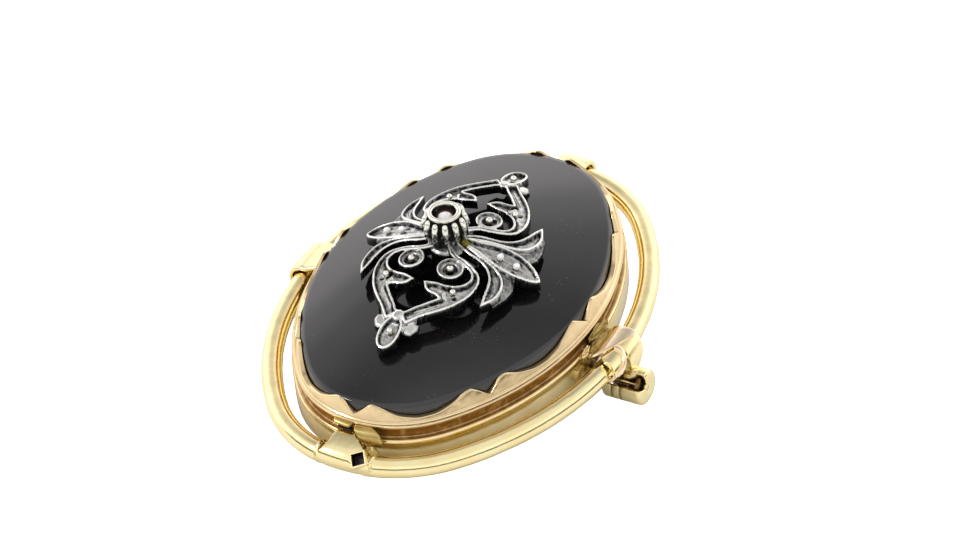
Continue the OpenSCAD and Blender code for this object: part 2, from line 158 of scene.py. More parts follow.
# %% The floor
white_floor = bpy.data.materials.new("white_floor")
white_floor.use_nodes = True
tree = white_floor.node_tree
surface = tree.nodes["Principled BSDF"]
surface.inputs["Base Color"].default_value = (0.78, 0.78, 0.77, 1)
surface.inputs["Roughness"].default_value = 0.9
surface.inputs["Emission Color"].default_value = (1, 1, 1, 1)
seen = tree.nodes.new("ShaderNodeLightPath").outputs["Is Camera Ray"]
glow = tree.nodes.new("ShaderNodeMath")
glow.operation = "MULTIPLY"
glow.inputs[1].default_value = 1.2
tree.links.new(seen, glow.inputs[0])
tree.links.new(glow.outputs[0], surface.inputs["Emission Strength"])
half_floor = 3
floor_mesh = bpy.data.meshes.new("floor")
floor_mesh.from_pydata([(x * half_floor, y * half_floor, 0)
                        for x, y in ((-1, -1), (1, -1), (1, 1), (-1, 1))], [], [(0, 1, 2, 3)])
floor_mesh.materials.append(white_floor)
floor = bpy.data.objects.new("floor", floor_mesh)
bpy.context.scene.collection.objects.link(floor)
print("floor:", 2 * half_floor, "m wide")

# %% [markdown]
# ## Light panels
#
# One broad panel hangs above and behind the brooch and gives the soft shading. A small one in
# front is seen in the metal as a bright spark on each rounded part, so it alone shows in
# reflections. The broad one doesn't, because the room below already gives the reflections.

# %% Light panels
def panel(name, place, size, watts):
    """A soft white light panel that looks at the brooch, in metres."""
    light = bpy.data.lights.new(name, "AREA")
    light.shape = "RECTANGLE"
    light.size, light.size_y = size
    light.energy = watts
    lamp = bpy.data.objects.new(name, light)
    lamp.location = place
    lamp.rotation_euler = (-Vector(place)).to_track_quat("-Z", "Y").to_euler()
    lamp.visible_glossy = False
    bpy.context.scene.collection.objects.link(lamp)
    return lamp


panel("panel_top", (-0.15, 0.35, 0.75), (0.9, 0.6), 2.6)
spark = panel("panel_front", (-0.5, -0.45, 0.55), (0.14, 0.14), 1.6)
spark.visible_glossy = True

# %% [markdown]
# ## Room
#
# A polished piece shows the room, so the room is drawn as a colour that changes with height.
# There are two such ramps. The one behind the brooch is pale near the horizon and greyer high
# up, which the onyx mirrors as a soft fade. The one in front is dark near the floor, which
# draws the darker line along the wire. A mask by direction blends the two.

# %% Two ramps over the height
world = bpy.data.worlds.new("pale_room")
world.use_nodes = True
tree = world.node_tree
where = tree.nodes.new("ShaderNodeTexCoord").outputs["Generated"]
height = tree.nodes.new("ShaderNodeSeparateXYZ")
tree.links.new(where, height.inputs[0])


def height_bands(levels, tint):
    """A colour ramp over the direction's height: 0 is the horizon and 1 is straight up."""
    bands = tree.nodes.new("ShaderNodeValToRGB")
    tree.links.new(height.outputs["Z"], bands.inputs["Fac"])
    for i, (place, level) in enumerate(levels):
        stop = bands.color_ramp.elements[i] if i < 2 else bands.color_ramp.elements.new(place)
        stop.position = place
        stop.color = (level * tint[0], level * tint[1], level * tint[2], 1)
    bands.color_ramp.interpolation = "EASE"
    return bands.outputs["Color"]


room = height_bands([(0.0, 0.8), (0.3, 0.86), (0.5, 0.85), (0.6, 0.6), (0.7, 0.42), (0.87, 0.22),
                     (1.0, 0.4)], (1, 0.975, 0.965))
front = height_bands([(0.0, 0.03), (0.15, 0.05), (0.25, 0.5), (0.32, 0.74), (0.5, 0.62),
                      (0.75, 0.5), (1.0, 0.5)], (1, 1, 0.99))
print("ramps made for the room")

# %% Blend the ramps by direction
behind = tree.nodes.new("ShaderNodeVectorMath")
behind.operation = "DOT_PRODUCT"
behind.inputs[1].default_value = (-0.51, 0.86, 0)
tree.links.new(where, behind.inputs[0])
sector = tree.nodes.new("ShaderNodeMapRange")
sector.interpolation_type = "SMOOTHSTEP"
sector.inputs["From Min"].default_value = 0.05
sector.inputs["From Max"].default_value = 0.42
tree.links.new(behind.outputs["Value"], sector.inputs["Value"])
room_mix = tree.nodes.new("ShaderNodeMix")
room_mix.data_type = "RGBA"
tree.links.new(front, room_mix.inputs[6])
tree.links.new(sector.outputs["Result"], room_mix.inputs[0])
tree.links.new(room, room_mix.inputs[7])
tree.links.new(room_mix.outputs[2], tree.nodes["Background"].inputs["Color"])
tree.nodes["Background"].inputs["Strength"].default_value = 1.78
bpy.context.scene.world = world
bpy.context.scene.view_settings.view_transform = "Standard"
print("room strength:", round(tree.nodes["Background"].inputs["Strength"].default_value, 2))

# %% [markdown]
# ## Shared effects
#
# Three effects come back in most finishes, so each is a node group with named inputs and
# outputs. Polish lines are noise stretched one way: they stand for the fine lines that a
# felt wheel leaves. Hollow dirt and shade darkens the places that a cloth can't reach, and it
# also paints the shade in grooves, corners and under parts. Its depth comes with the mesh, as a
# number from 0 to 1 on each point. Specks are dust on a dark surface.

# %% Tools for node groups
def start_group(name, inputs, outputs):
    """An empty node group with named inputs (name, kind, value) and outputs (name, kind)."""
    tree = bpy.data.node_groups.new(name, "ShaderNodeTree")
    for label, kind, value in inputs:
        socket = tree.interface.new_socket(name=label, in_out="INPUT", socket_type=kind)
        if value is not None:
            socket.default_value = value
    for label, kind in outputs:
        tree.interface.new_socket(name=label, in_out="OUTPUT", socket_type=kind)
    return tree, tree.nodes.new("NodeGroupInput"), tree.nodes.new("NodeGroupOutput")


def maths(tree, operation, first, second):
    """A maths node; each of its two values is a number or a socket."""
    node = tree.nodes.new("ShaderNodeMath")
    node.operation = operation
    for i, value in enumerate((first, second)):
        if isinstance(value, (int, float)):
            node.inputs[i].default_value = value
        else:
            tree.links.new(value, node.inputs[i])
    return node.outputs[0]


def ramp(tree, value, low, high, start=0.0, end=1.0):
    """Maps low..high to start..end and keeps to those ends."""
    node = tree.nodes.new("ShaderNodeMapRange")
    tree.links.new(value, node.inputs["Value"])
    for label, number in (("From Min", low), ("From Max", high), ("To Min", start),
                          ("To Max", end)):
        node.inputs[label].default_value = number
    return node.outputs["Result"]


def noise_at(tree, vector, scale, detail=3.0, roughness=0.55):
    """Soft noise from 0 to 1; each of its settings is a number or a socket."""
    node = tree.nodes.new("ShaderNodeTexNoise")
    tree.links.new(vector, node.inputs["Vector"])
    for label, value in (("Scale", scale), ("Detail", detail), ("Roughness", roughness)):
        if isinstance(value, (int, float)):
            node.inputs[label].default_value = value
        else:
            tree.links.new(value, node.inputs[label])
    return node.outputs["Fac"]


print("tools:", [tool.__name__ for tool in (start_group, maths, ramp, noise_at)])

# %% Polish lines
tree, into, out = start_group("polish_lines", [
    ("Vector", "NodeSocketVector", None), ("Scale", "NodeSocketFloat", 1500.0)],
    [("Lines", "NodeSocketFloat"), ("Cloud", "NodeSocketFloat")])
stretch = tree.nodes.new("ShaderNodeMapping")
stretch.inputs["Scale"].default_value = (1, 0.12, 0.6)
stretch.inputs["Rotation"].default_value = (0.3, 0.2, 0.5)
tree.links.new(into.outputs["Vector"], stretch.inputs["Vector"])
lines = noise_at(tree, stretch.outputs["Vector"], into.outputs["Scale"], 5, 0.7)
coarse = maths(tree, "MULTIPLY", into.outputs["Scale"], 0.25)
cloud = noise_at(tree, into.outputs["Vector"], coarse, 3)
tree.links.new(lines, out.inputs["Lines"])
tree.links.new(cloud, out.inputs["Cloud"])
polish_lines = tree
print("group:", polish_lines.name)

# %% Hollow dirt and painted shade
tree, into, out = start_group("hollow_dirt_and_shade", [
    ("Vector", "NodeSocketVector", None), ("Scale", "NodeSocketFloat", 900.0),
    ("Amount", "NodeSocketFloat", 1.0)], [("Mask", "NodeSocketFloat")])
# The mask is dirt and painted shade: it darkens by the hollow number on each point.
depth = tree.nodes.new("ShaderNodeAttribute")
depth.attribute_name = "hollow"
patch = noise_at(tree, into.outputs["Vector"], into.outputs["Scale"], 4)
uneven = maths(tree, "MULTIPLY", depth.outputs["Fac"], ramp(tree, patch, 0.3, 0.62, 0.55, 1.15))
mask = ramp(tree, maths(tree, "MULTIPLY", uneven, into.outputs["Amount"]), 0.05, 0.95)
tree.links.new(mask, out.inputs["Mask"])
hollow_dirt_and_shade = tree
print("group:", hollow_dirt_and_shade.name)

# %% Dust specks
tree, into, out = start_group("dust_specks", [
    ("Vector", "NodeSocketVector", None), ("Scale", "NodeSocketFloat", 900.0),
    ("Size", "NodeSocketFloat", 0.08)], [("Mask", "NodeSocketFloat")])
grains = tree.nodes.new("ShaderNodeTexVoronoi")
tree.links.new(into.outputs["Vector"], grains.inputs["Vector"])
tree.links.new(into.outputs["Scale"], grains.inputs["Scale"])
near = maths(tree, "LESS_THAN", grains.outputs["Distance"], into.outputs["Size"])
patch = noise_at(tree, into.outputs["Vector"], 260, 3)
tree.links.new(maths(tree, "MULTIPLY", near, ramp(tree, patch, 0.5, 0.62)), out.inputs["Mask"])
dust_specks = tree
print("group:", dust_specks.name)

# %% [markdown]
# ## Finishes
#
# Each finish is one material, built from the shared groups with its own values. A few helpers
# keep the node wiring short: one starts a material, one places a group, one mixes two colours
# by a mask, and one stacks bumps from coarse to fine.

# %% Tools for finishes
def start_finish(name, metallic, roughness):
    """A new material; gives it, its nodes, its Principled shader and the point on the piece."""
    material = bpy.data.materials.new(name)
    material.use_nodes = True
    tree = material.node_tree
    surface = tree.nodes["Principled BSDF"]
    surface.inputs["Metallic"].default_value = metallic
    surface.inputs["Roughness"].default_value = roughness
    where = tree.nodes.new("ShaderNodeTexCoord").outputs["Object"]
    return material, tree, surface, where


def use_group(tree, group, where, **values):
    """Places a shared group in a material and sets its named values."""
    node = tree.nodes.new("ShaderNodeGroup")
    node.node_tree = group
    tree.links.new(where, node.inputs["Vector"])
    for label, value in values.items():
        node.inputs[label].default_value = value
    return node


def blend_colour(tree, share, first, second):
    """Mixes two colours by a share; each colour is a tuple or a socket."""
    node = tree.nodes.new("ShaderNodeMix")
    node.data_type = "RGBA"
    tree.links.new(share, node.inputs[0])
    for i, value in ((6, first), (7, second)):
        if isinstance(value, tuple):
            node.inputs[i].default_value = (*value, 1)
        else:
            tree.links.new(value, node.inputs[i])
    return node.outputs[2]


def add_bump(tree, surface, *layers):
    """Stacks bumps: each layer is a height socket, a distance in mm and a strength."""
    normal = None
    for height, distance, strength in layers:
        bump = tree.nodes.new("ShaderNodeBump")
        bump.inputs["Distance"].default_value = distance * MM
        bump.inputs["Strength"].default_value = strength
        tree.links.new(height, bump.inputs["Height"])
        if normal:
            tree.links.new(normal, bump.inputs["Normal"])
        normal = bump.outputs["Normal"]
    tree.links.new(normal, surface.inputs["Normal"])


print("tools:", [tool.__name__ for tool in (start_finish, use_group, blend_colour, add_bump)])

# %% [markdown]
# ## Gold
#
# The gold is a pale, slightly pink yellow that turns greener where the alloy has aged, and
# brown in the hollows: patina, and painted shade in grooves and under parts. One recipe makes
# all of it. The collar is pinker than the wire, the solder is darker and rougher, and the roller
# inside the catch is dark brown.

# %% Gold
def gold_finish(name, bright, aged, dirt_and_shade, gloss=(0.1, 0.24), wave=0.35):
    """Polished, worn gold: two tones of metal, hollows brown with patina and painted shade, polish
    lines and faint dents.
    """
    material, tree, surface, where = start_finish(name, 1.0, 0.15)
    polish = use_group(tree, polish_lines, where, Scale=1400)
    hollow = use_group(tree, hollow_dirt_and_shade, where, Scale=1100)
    tone = blend_colour(tree, ramp(tree, polish.outputs["Cloud"], 0.35, 0.7), bright, aged)
    # The dark brown comes in by the hollow mask: patina, and painted shade in grooves and under
    # parts.
    colour = blend_colour(tree, hollow.outputs["Mask"], tone, dirt_and_shade)
    tree.links.new(colour, surface.inputs["Base Color"])
    shine = ramp(tree, polish.outputs["Lines"], 0.3, 0.75, *gloss)
    rough = maths(tree, "ADD", shine, maths(tree, "MULTIPLY", hollow.outputs["Mask"], 0.35))
    tree.links.new(rough, surface.inputs["Roughness"])
    dents = noise_at(tree, where, 420, 2)
    add_bump(tree, surface, (dents, 0.12, wave), (polish.outputs["Lines"], 0.004, 0.5))
    return material


gold = gold_finish("gold_collar", (0.92, 0.71, 0.42), (0.84, 0.63, 0.35), (0.3, 0.15, 0.03))
gold_wire = gold_finish("gold_wire", (1.0, 0.87, 0.5), (0.97, 0.8, 0.42), (0.34, 0.18, 0.04))
gold_band = gold_finish("gold_band", (0.95, 0.8, 0.47), (0.88, 0.66, 0.32), (0.3, 0.15, 0.03))
gold_rose = gold_finish("gold_rose", (1.0, 0.84, 0.62), (0.97, 0.78, 0.52), (0.28, 0.14, 0.03))
gold_solder = gold_finish("gold_solder", (0.62, 0.47, 0.18), (0.4, 0.28, 0.09),
                          (0.12, 0.06, 0.01), (0.25, 0.5), 0.9)
residue = gold_finish("residue_olive", (0.3, 0.27, 0.06), (0.16, 0.14, 0.03), (0.08, 0.06, 0.01),
                      (0.3, 0.5), 0.9)
gold_inside = gold_finish("gold_inside", (0.34, 0.22, 0.11), (0.2, 0.12, 0.05), (0.05, 0.03, 0.01),
                          (0.2, 0.4))
print("gold finishes:", [m.name for m in (gold, gold_wire, gold_band, gold_rose, gold_solder,
                                          residue, gold_inside)])

# %% [markdown]
# ## Silver
#
# The silver was blackened and then polished, so its raised edges are bright, its floors are
# grey and its crevices black; that grey and black are partly oxide and partly painted shade.
# The hollow number on each point of the mesh picks between the three, so the line between bright
# and black follows the carving.

# %% Silver
def silver_finish(name, bright, grey, black=(0.012, 0.012, 0.012)):
    """Blackened silver: bright on the rails, grey on the floors and black in the crevices, as oxide
    and painted shade.
    """
    material, tree, surface, where = start_finish(name, 1.0, 0.3)
    polish = use_group(tree, polish_lines, where, Scale=2600)
    hollow = use_group(tree, hollow_dirt_and_shade, where, Scale=2600)
    tone = blend_colour(tree, ramp(tree, polish.outputs["Cloud"], 0.3, 0.75), bright,
                        tuple(0.85 * c for c in bright))
    floor_tone = blend_colour(tree, ramp(tree, polish.outputs["Cloud"], 0.35, 0.65), grey,
                              tuple(0.45 * c for c in grey))
    upper = blend_colour(tree, ramp(tree, hollow.outputs["Mask"], 0.0, 0.42), tone, floor_tone)
    tree.links.new(blend_colour(tree, ramp(tree, hollow.outputs["Mask"], 0.5, 0.95), upper, black),
                   surface.inputs["Base Color"])
    shine = ramp(tree, polish.outputs["Lines"], 0.25, 0.8, 0.14, 0.3)
    tree.links.new(maths(tree, "ADD", shine, maths(tree, "MULTIPLY", hollow.outputs["Mask"], 0.15)),
                   surface.inputs["Roughness"])
    pits = noise_at(tree, where, 5200, 3)
    add_bump(tree, surface, (noise_at(tree, where, 1300, 2), 0.05, 0.5), (pits, 0.012, 0.5))
    return material


silver = silver_finish("silver_oxidised", (0.97, 0.96, 0.92), (0.34, 0.34, 0.33))
silver_bright = silver_finish("silver_bright", (0.95, 0.93, 0.84), (0.4, 0.38, 0.33))
# The sawn walls get a dark copy of the silver: oxide, and painted shade under the openwork.
silver_dark = silver_finish("silver_wall", (0.1, 0.1, 0.1), (0.05, 0.05, 0.05))
print("silver finishes:", [m.name for m in (silver, silver_bright, silver_dark)])

# %% [markdown]
# ## Dark inside, onyx and stones
#
# The inside of the socket is tarnished metal that light hardly reaches; its near black colour
# is that tarnish and painted shade, and the slit in the near strap takes it too as painted
# shade. Onyx is a near black gloss with fine polish lines and a little dust. The chips are old
# rose cuts: cloudy, pale and glossy. The foil under the middle one has gone red brown.

# %% Inside of the socket
# Near black: tarnish, and painted shade inside the socket's mouth and in the strap's slit.
tarnish_and_shade_dark, tree, surface, where = start_finish("tarnish_and_shade_inside", 0.9, 0.5)
tree.links.new(blend_colour(tree, noise_at(tree, where, 900, 3), (0.05, 0.04, 0.035),
                            (0.03, 0.024, 0.02)), surface.inputs["Base Color"])
print("finish:", tarnish_and_shade_dark.name)

# %% Onyx
onyx_polish, tree, surface, where = start_finish("onyx_polish", 0.0, 0.06)
surface.inputs["IOR"].default_value = 1.7
polish = use_group(tree, polish_lines, where, Scale=600)
specks = use_group(tree, dust_specks, where, Scale=2100, Size=0.12)
depth_tone = blend_colour(tree, ramp(tree, polish.outputs["Cloud"], 0.35, 0.7),
                          (0.0045, 0.004, 0.0045), (0.009, 0.008, 0.009))
tree.links.new(blend_colour(tree, specks.outputs["Mask"], depth_tone, (0.06, 0.058, 0.06)),
               surface.inputs["Base Color"])
tree.links.new(maths(tree, "ADD", ramp(tree, polish.outputs["Lines"], 0.3, 0.75, 0.05, 0.1),
                     maths(tree, "MULTIPLY", specks.outputs["Mask"], 0.4)),
               surface.inputs["Roughness"])
add_bump(tree, surface, (polish.outputs["Lines"], 0.002, 0.25))
print("finish:", onyx_polish.name)


# %% Stones
def stone_finish(name, colour, roughness, transmission):
    """A cloudy cut stone of high refraction."""
    material, tree, surface, where = start_finish(name, 0.0, roughness)
    surface.inputs["IOR"].default_value = 1.9
    surface.inputs["Transmission Weight"].default_value = transmission
    cloud = noise_at(tree, where, 1500, 3)
    tree.links.new(blend_colour(tree, ramp(tree, cloud, 0.4, 0.65), colour,
                                tuple(0.75 * c for c in colour)), surface.inputs["Base Color"])
    return material


rose_cut = stone_finish("rose_cut_grey", (0.86, 0.83, 0.81), 0.08, 0.1)
chip_white = stone_finish("chip_white", (0.95, 0.94, 0.91), 0.15, 0.0)
foil_red = stone_finish("foil_red_brown", (0.12, 0.045, 0.04), 0.2, 0.1)
print("finishes:", len(bpy.data.materials))

# %% [markdown]
# ## The oval
#
# The brooch's outline is four arcs: two round ends and two flatter sides that meet smoothly.
# Everything that follows the outline is placed by a length along it and a distance outwards
# from the wire's centre line, so the same two functions serve the collar, the wire and the
# straps.

# %% Points on the oval
wire_half_x, wire_half_y, end_arc_r, wire_r = 15.96, 22.0, 12.3, 1.0
end_shift = wire_half_y - end_arc_r
side_shift = (end_shift ** 2 - (wire_half_x - end_arc_r) ** 2) / (2 * (wire_half_x - end_arc_r))
side_arc_r = wire_half_x + side_shift
join_angle = math.atan2(end_shift, side_shift)
rim_inset = -2.74
side_length = (side_arc_r + rim_inset) * join_angle
quarter = side_length + (end_arc_r + rim_inset) * (math.pi / 2 - join_angle)
half_repeat = quarter / 4


def quarter_point(s, out):
    """The point at length s in the first quarter of the oval, and a distance outwards."""
    if s < side_length:
        a, r = s / side_length * join_angle, side_arc_r + out
        return r * math.cos(a) - side_shift, r * math.sin(a)
    a, r = join_angle + (s - side_length) / (end_arc_r + rim_inset), end_arc_r + out
    return r * math.cos(a), r * math.sin(a) + end_shift


def oval_point(s, out):
    """Length s from the +X end of the oval, counter-clockwise, and a distance outwards."""
    s %= 4 * quarter
    turns = int(s / quarter + 1e-9)
    rest_s = s - turns * quarter
    x, y = quarter_point(rest_s if turns % 2 == 0 else quarter - rest_s, out)
    return (-x if turns in (1, 2) else x), (-y if turns > 1 else y)


print("rim length", round(4 * quarter, 2), "mm, one scallop", round(2 * half_repeat, 2), "mm")

# %% [markdown]
# ## Collar
#
# The collar is a strip of gold bent round the stone. Its upper edge is cut into tips and
# hollows and pushed over the stone; below come a rounded roll, a groove and a base band. It
# could be cut from a solid, but one section swept round the oval is closer to how it is made,
# and the section's height simply follows the scalloped edge. Corners of the section are
# rounded, so that every edge catches a thin line of light.

# %% Sections with rounded corners
def soften(points, radius, steps=3):
    """Rounds every corner of a closed outline; each corner becomes steps + 1 points."""
    out, n = [], len(points)
    for i in range(n):
        here = Vector(points[i][:2])
        before, after = Vector(points[i - 1][:2]), Vector(points[(i + 1) % n][:2])
        near = min(radius, 0.42 * (before - here).length, 0.42 * (after - here).length)
        start = here + (before - here).normalized() * near
        end = here + (after - here).normalized() * near
        for k in range(steps + 1):
            t = k / steps
            out.append(tuple(start.lerp(here, t).lerp(here.lerp(end, t), t)) + tuple(points[i][2:]))
    return out


def ring(stations, sections, name, material):
    """A closed ring through one section for each station; a section is out, z, hollow."""
    count, width = len(stations), len(sections[0])
    points = [(*oval_point(s, q[0]), q[1]) for s, section in zip(stations, sections)
              for q in section]
    hollow = [q[2] for section in sections for q in section]
    faces = [(i * width + k, i * width + (k + 1) % width,
              (i + 1) % count * width + (k + 1) % width, (i + 1) % count * width + k)
             for i in range(count) for k in range(width)]
    return face_outwards(new_piece(name, points, faces, material, hollow=hollow))


print("a softened square has", len(soften([(0, 0), (1, 0), (1, 1), (0, 1)], 0.1)), "points")

# %% The collar
tip_z, notch_z, notch_half = 4.58, 3.46, 1.75


def edge_z(s):
    """Height of the scalloped edge: an ogee from a notch up to its tip, then a long hollow."""
    part = s / half_repeat % 2
    d = min(part, 2 - part) * half_repeat
    v, w = d / notch_half, (half_repeat - d) / (half_repeat - notch_half)
    rise = 1.2 * v - 0.2 * v ** 6 if d < notch_half else 1.2 * w * w - 0.2 * w ** 12
    return notch_z + (tip_z - notch_z) * rise


def collar_section(top):
    """The collar's section as rows of out, z and dirt with painted shade; only its upper edge
    depends on top.
    """
    f = (top - 3.2) / (tip_z - 3.2)
    lip, back = -2.4 - 0.42 * f, -2.93 - 0.15 * (top - 3) / (tip_z - 3)
    # Hollow 1 marks the groove and the back under the stone: painted shade there, with some patina.
    return [(-1.95, -1.15, 0), (-1.95, 1.15, 0), (-2.1, 1.35, 0.3), (-2.6, 1.38, 1),
            (-2.6, 2.26, 1), (-2.3, 2.42, 0.55), (-2.1, 2.78, 0), (-2.24, 3.1, 0.1),
            (-2.4, 3.22, 0.22), (lip, top, 0), (back, top, 0), (-2.93, 3, 1), (-2.93, 2, 1),
            (-3.9, 1.98, 1), (-3.9, 1.5, 0.6), (-2.45, 1.5, 0.6), (-2.45, -1.15, 0.2)]


stations = [i * quarter / 112 for i in range(448)]
collar = ring(stations, [soften(collar_section(edge_z(s) + 0.012 * math.sin(s * 3.7)), 0.07)
                         for s in stations], "collar", gold)
collar.data.materials.append(gold_band)
for face in collar.data.polygons:
    drawn = rest.inverted() @ face.center
    face.material_index = 1 if drawn.z < 1.36 else 0
stand_for([collar], "mount")
print("collar faces:", len(collar.data.polygons))

# %% [markdown]
# ## Wire frame
#
# A plain round wire, bent to the same oval and soldered to the straps. It is swept as a true
# circle. A slow wobble of a few hundredths of a millimetre keeps its reflections from looking
# machine-made.

# %% The wire
def wire_section(s):
    """The wire's section at length s; it is filed thinner inside the near strap."""
    r = wire_r * (1 + 0.012 * math.sin(s * 0.9) + 0.008 * math.sin(s * 2.3 + 1))
    r = min(r, wire_r) - 0.26 * max(0, 1 - (abs(s - 3 * quarter) / 1.6) ** 6)
    return [(r * math.cos(a), r * math.sin(a), 0)
            for a in [math.tau * k / 28 for k in range(28)]]


stations = [i * quarter / 90 for i in range(360)]
wire = ring(stations, [wire_section(s) for s in stations], "wire_frame", gold_wire)
stand_for([wire], "mount")
print("wire faces:", len(wire.data.polygons))

# %% [markdown]
# ## Straps
#
# Each strap is a band of sheet gold, laid from the collar over the wire and folded round it.
# A strap could be cut from a block, but a real one is sheet, and its folds come from that. So
# it is drawn as a path in the section plane, from the collar to the underside of the wire, and
# gets a width and a skew at each point of the path. It is thickened inwards and its edges are
# rounded with a bevel.

# %% Bands across the oval
def band(name, at, path, thickness, material, edge=0.12):
    """A strip along a path of (out, z, start, end): start and end are its edges beside at."""
    n, across = len(path), 9
    arc = end_arc_r if round(at / quarter) % 2 else side_arc_r
    centre = [Vector(p[:2]) for p in path]
    outer, inner = [], []
    for i, p in enumerate(path):
        way = centre[min(i + 1, n - 1)] - centre[max(i - 1, 0)]
        normal = Vector((-way.y, way.x)).normalized() * thickness
        for k in range(across):
            s = at + (p[2] + (p[3] - p[2]) * k / (across - 1)) * (arc + rim_inset) / (arc + p[0])
            outer.append((*oval_point(s, p[0]), p[1]))
            low = centre[i] + normal
            inner.append((*oval_point(s, low.x), low.y))
    points, half = outer + inner, n * across
    faces = []
    for i in range(n - 1):
        for k in range(across - 1):
            a = i * across + k
            faces += [(a, a + 1, a + across + 1, a + across),
                      (half + a, half + a + across, half + a + across + 1, half + a + 1)]
    rim = ([k for k in range(across)] + [i * across + across - 1 for i in range(1, n)]
           + [(n - 1) * across + k for k in range(across - 2, -1, -1)]
           + [i * across for i in range(n - 2, 0, -1)])
    for j, a in enumerate(rim):
        b = rim[(j + 1) % len(rim)]
        faces.append((a, half + a, half + b, b))
    piece = face_outwards(new_piece(name, points, faces, material, hollow=[0.0] * len(points)))
    return soft_edges(piece, edge, 3)


def hoop(radius, first, last, start, end, steps=16):
    """Points of a path round the wire, from one angle to another, in degrees."""
    return [(radius * math.cos(math.radians(a)), radius * math.sin(math.radians(a)), start, end)
            for a in [first + (last - first) * i / steps for i in range(steps + 1)]]


near, far, catch_end, hinge_end = 3 * quarter, quarter, 0.0, 2 * quarter
print("straps at", [round(s, 1) for s in (near, far, catch_end, hinge_end)], "mm along the rim")

# %% [markdown]
# ## Near strap
#
# This strap widens from the collar to the wire and carries the socket. Where it leaves the
# collar it was slit, and one tab and one fold of it are bent up against the collar with solder
# between. Each of them is a band of its own, so that their edges stay apart as in the metal.

# %% The near strap
strap_near = band("strap_near", near,
                  [(-2.05, 1.98, -0.4, 0.05), (-1.8, 2.05, -0.75, 0.3), (-1.46, 2.06, -1.28, 0.65),
                   (-1.1, 2.0, -1.38, 1.0), (-0.5, 1.85, -1.42, 1.69), (0, 1.7, -1.5, 2.2),
                   (0.5, 1.5, -1.65, 2.69), (0.85, 1.25, -1.95, 2.95), (1.05, 0.95, -2.15, 3.1),
                   (1.13, 0.6, -2.3, 3.1), (1.08, 0.2, -2.4, 3.0), (0.95, -0.2, -2.4, 2.85),
                   (0.75, -0.55, -2.4, 2.7), (0.45, -0.8, -2.3, 2.5), (0.0, -0.95, -2.1, 2.3),
                   (-0.5, -0.9, -1.8, 2.0)], -0.3, gold_wire)
tab_near = band("strap_near_tab", near,
                [(-2.3, 2.85, -1.75, 0.1), (-2.05, 2.92, -1.8, 0.15), (-1.75, 2.86, -1.8, 0.12),
                 (-1.52, 2.68, -1.7, -0.05)], -0.3, gold_solder, 0.1)
# The slit is a thin band in the near black inside finish: painted shade in the gap.
slit_near = band("strap_near_slit", near, [(-2.1, 2.3, -1.3, 0.0), (-1.72, 2.2, -1.4, 0.1)],
                 -0.2, tarnish_and_shade_dark, 0.04)
fold_near = band("strap_near_fold", near,
                 [(-2.15, 2.75, 0.35, 1.9), (-1.75, 2.86, 0.4, 2.4), (-1.3, 2.72, 0.6, 3.0),
                  (-1.05, 2.35, 1.0, 3.3), (-1.0, 1.85, 1.5, 3.4), (-1.2, 1.35, 2.0, 3.3)],
                 -0.3, gold_solder, 0.14)
print("near strap points:", len(strap_near.data.vertices))

# %% [markdown]
# ## Far strap and catch strap
#
# The far strap is a plain hoop. The one over the catch is a ribbon with a slanting edge that
# ends in two lobes, which lap over the wire on both sides of a seam. The seam is a narrow
# ribbon, so it is swept along its own path across the two lobes.

# %% The far strap and the catch strap
strap_far = band("strap_far", far, [(-2.3, 2.6, -1.4, 1.4), (-1.5, 2.5, -1.4, 1.4)]
                 + hoop(1.72, 98, -100, -1.5, 1.5), -0.45, gold_wire)
strap_catch = band("strap_catch", catch_end,
                   hoop(1.97, 132, 114, -2.4, 2.15, 6)
                   + [(-0.35, 1.94, -1.9, 2.2), (0.1, 1.95, -1.1, 2.25), (0.45, 1.9, -0.25, 2.3),
                      (0.8, 1.8, 0.75, 2.35), (1.2, 1.57, 1.8, 2.4)], -0.22, gold_rose, 0.09)
lobe_left = band("strap_lobe_left", catch_end,
                 [(0.0, 1.58, -2.2, -0.2), (0.5, 1.58, -2.45, -0.1), (0.95, 1.42, -2.5, -0.1),
                  (1.3, 1.15, -2.55, -0.6), (1.52, 0.85, -2.6, -0.95), (1.62, 0.62, -2.65, -1.45),
                  (1.66, 0.45, -2.7, -1.95), (1.6, 0.25, -2.75, -2.3)], -0.4, gold_wire)
lobe_right = band("strap_lobe_right", catch_end,
                  [(-0.55, 1.68, -0.1, 2.2), (0.1, 1.76, -0.1, 2.25), (0.8, 1.62, -0.1, 2.35),
                   (1.4, 1.15, -0.15, 2.35), (1.75, 0.55, -0.25, 2.3), (1.84, 0.0, -0.3, 2.15),
                   (1.87, -0.5, -0.3, 1.9), (1.87, -1.0, -0.2, 1.35), (1.78, -1.5, 0.0, 0.8)],
                  -0.5, gold_wire, 0.2)
print("catch strap pieces:", [s.name for s in (strap_catch, lobe_left, lobe_right)])

# %% The seam
seam_half, seam_over, seam_under = 0.24, 0.12, 0.25
seam_path = [(0.3, -0.45, 1.72), (0.75, -0.4, 1.62), (1.15, -0.5, 1.4), (1.45, -0.8, 1.1),
             (1.64, -1.2, 0.8), (1.74, -1.65, 0.6), (1.74, -2.1, 0.42), (1.6, -2.45, 0.2),
             (1.25, -2.6, -0.1), (0.85, -2.7, -0.5)]
points = []
for i, (out, y, z) in enumerate(seam_path):
    here = Vector((wire_half_x + out, y, z))
    before, after = seam_path[max(i - 1, 0)], seam_path[min(i + 1, len(seam_path) - 1)]
    along = (Vector(after) - Vector(before)).normalized()
    lift = Vector((out, 0, z)).normalized()
    across = along.cross(lift).normalized() * seam_half
    points += [tuple(here + across + lift * seam_over), tuple(here - across + lift * seam_over),
               tuple(here - across - lift * seam_under), tuple(here + across - lift * seam_under)]
faces = [(4 * i + k, 4 * i + (k + 1) % 4, 4 * i + 4 + (k + 1) % 4, 4 * i + 4 + k)
         for i in range(len(seam_path) - 1) for k in range(4)]
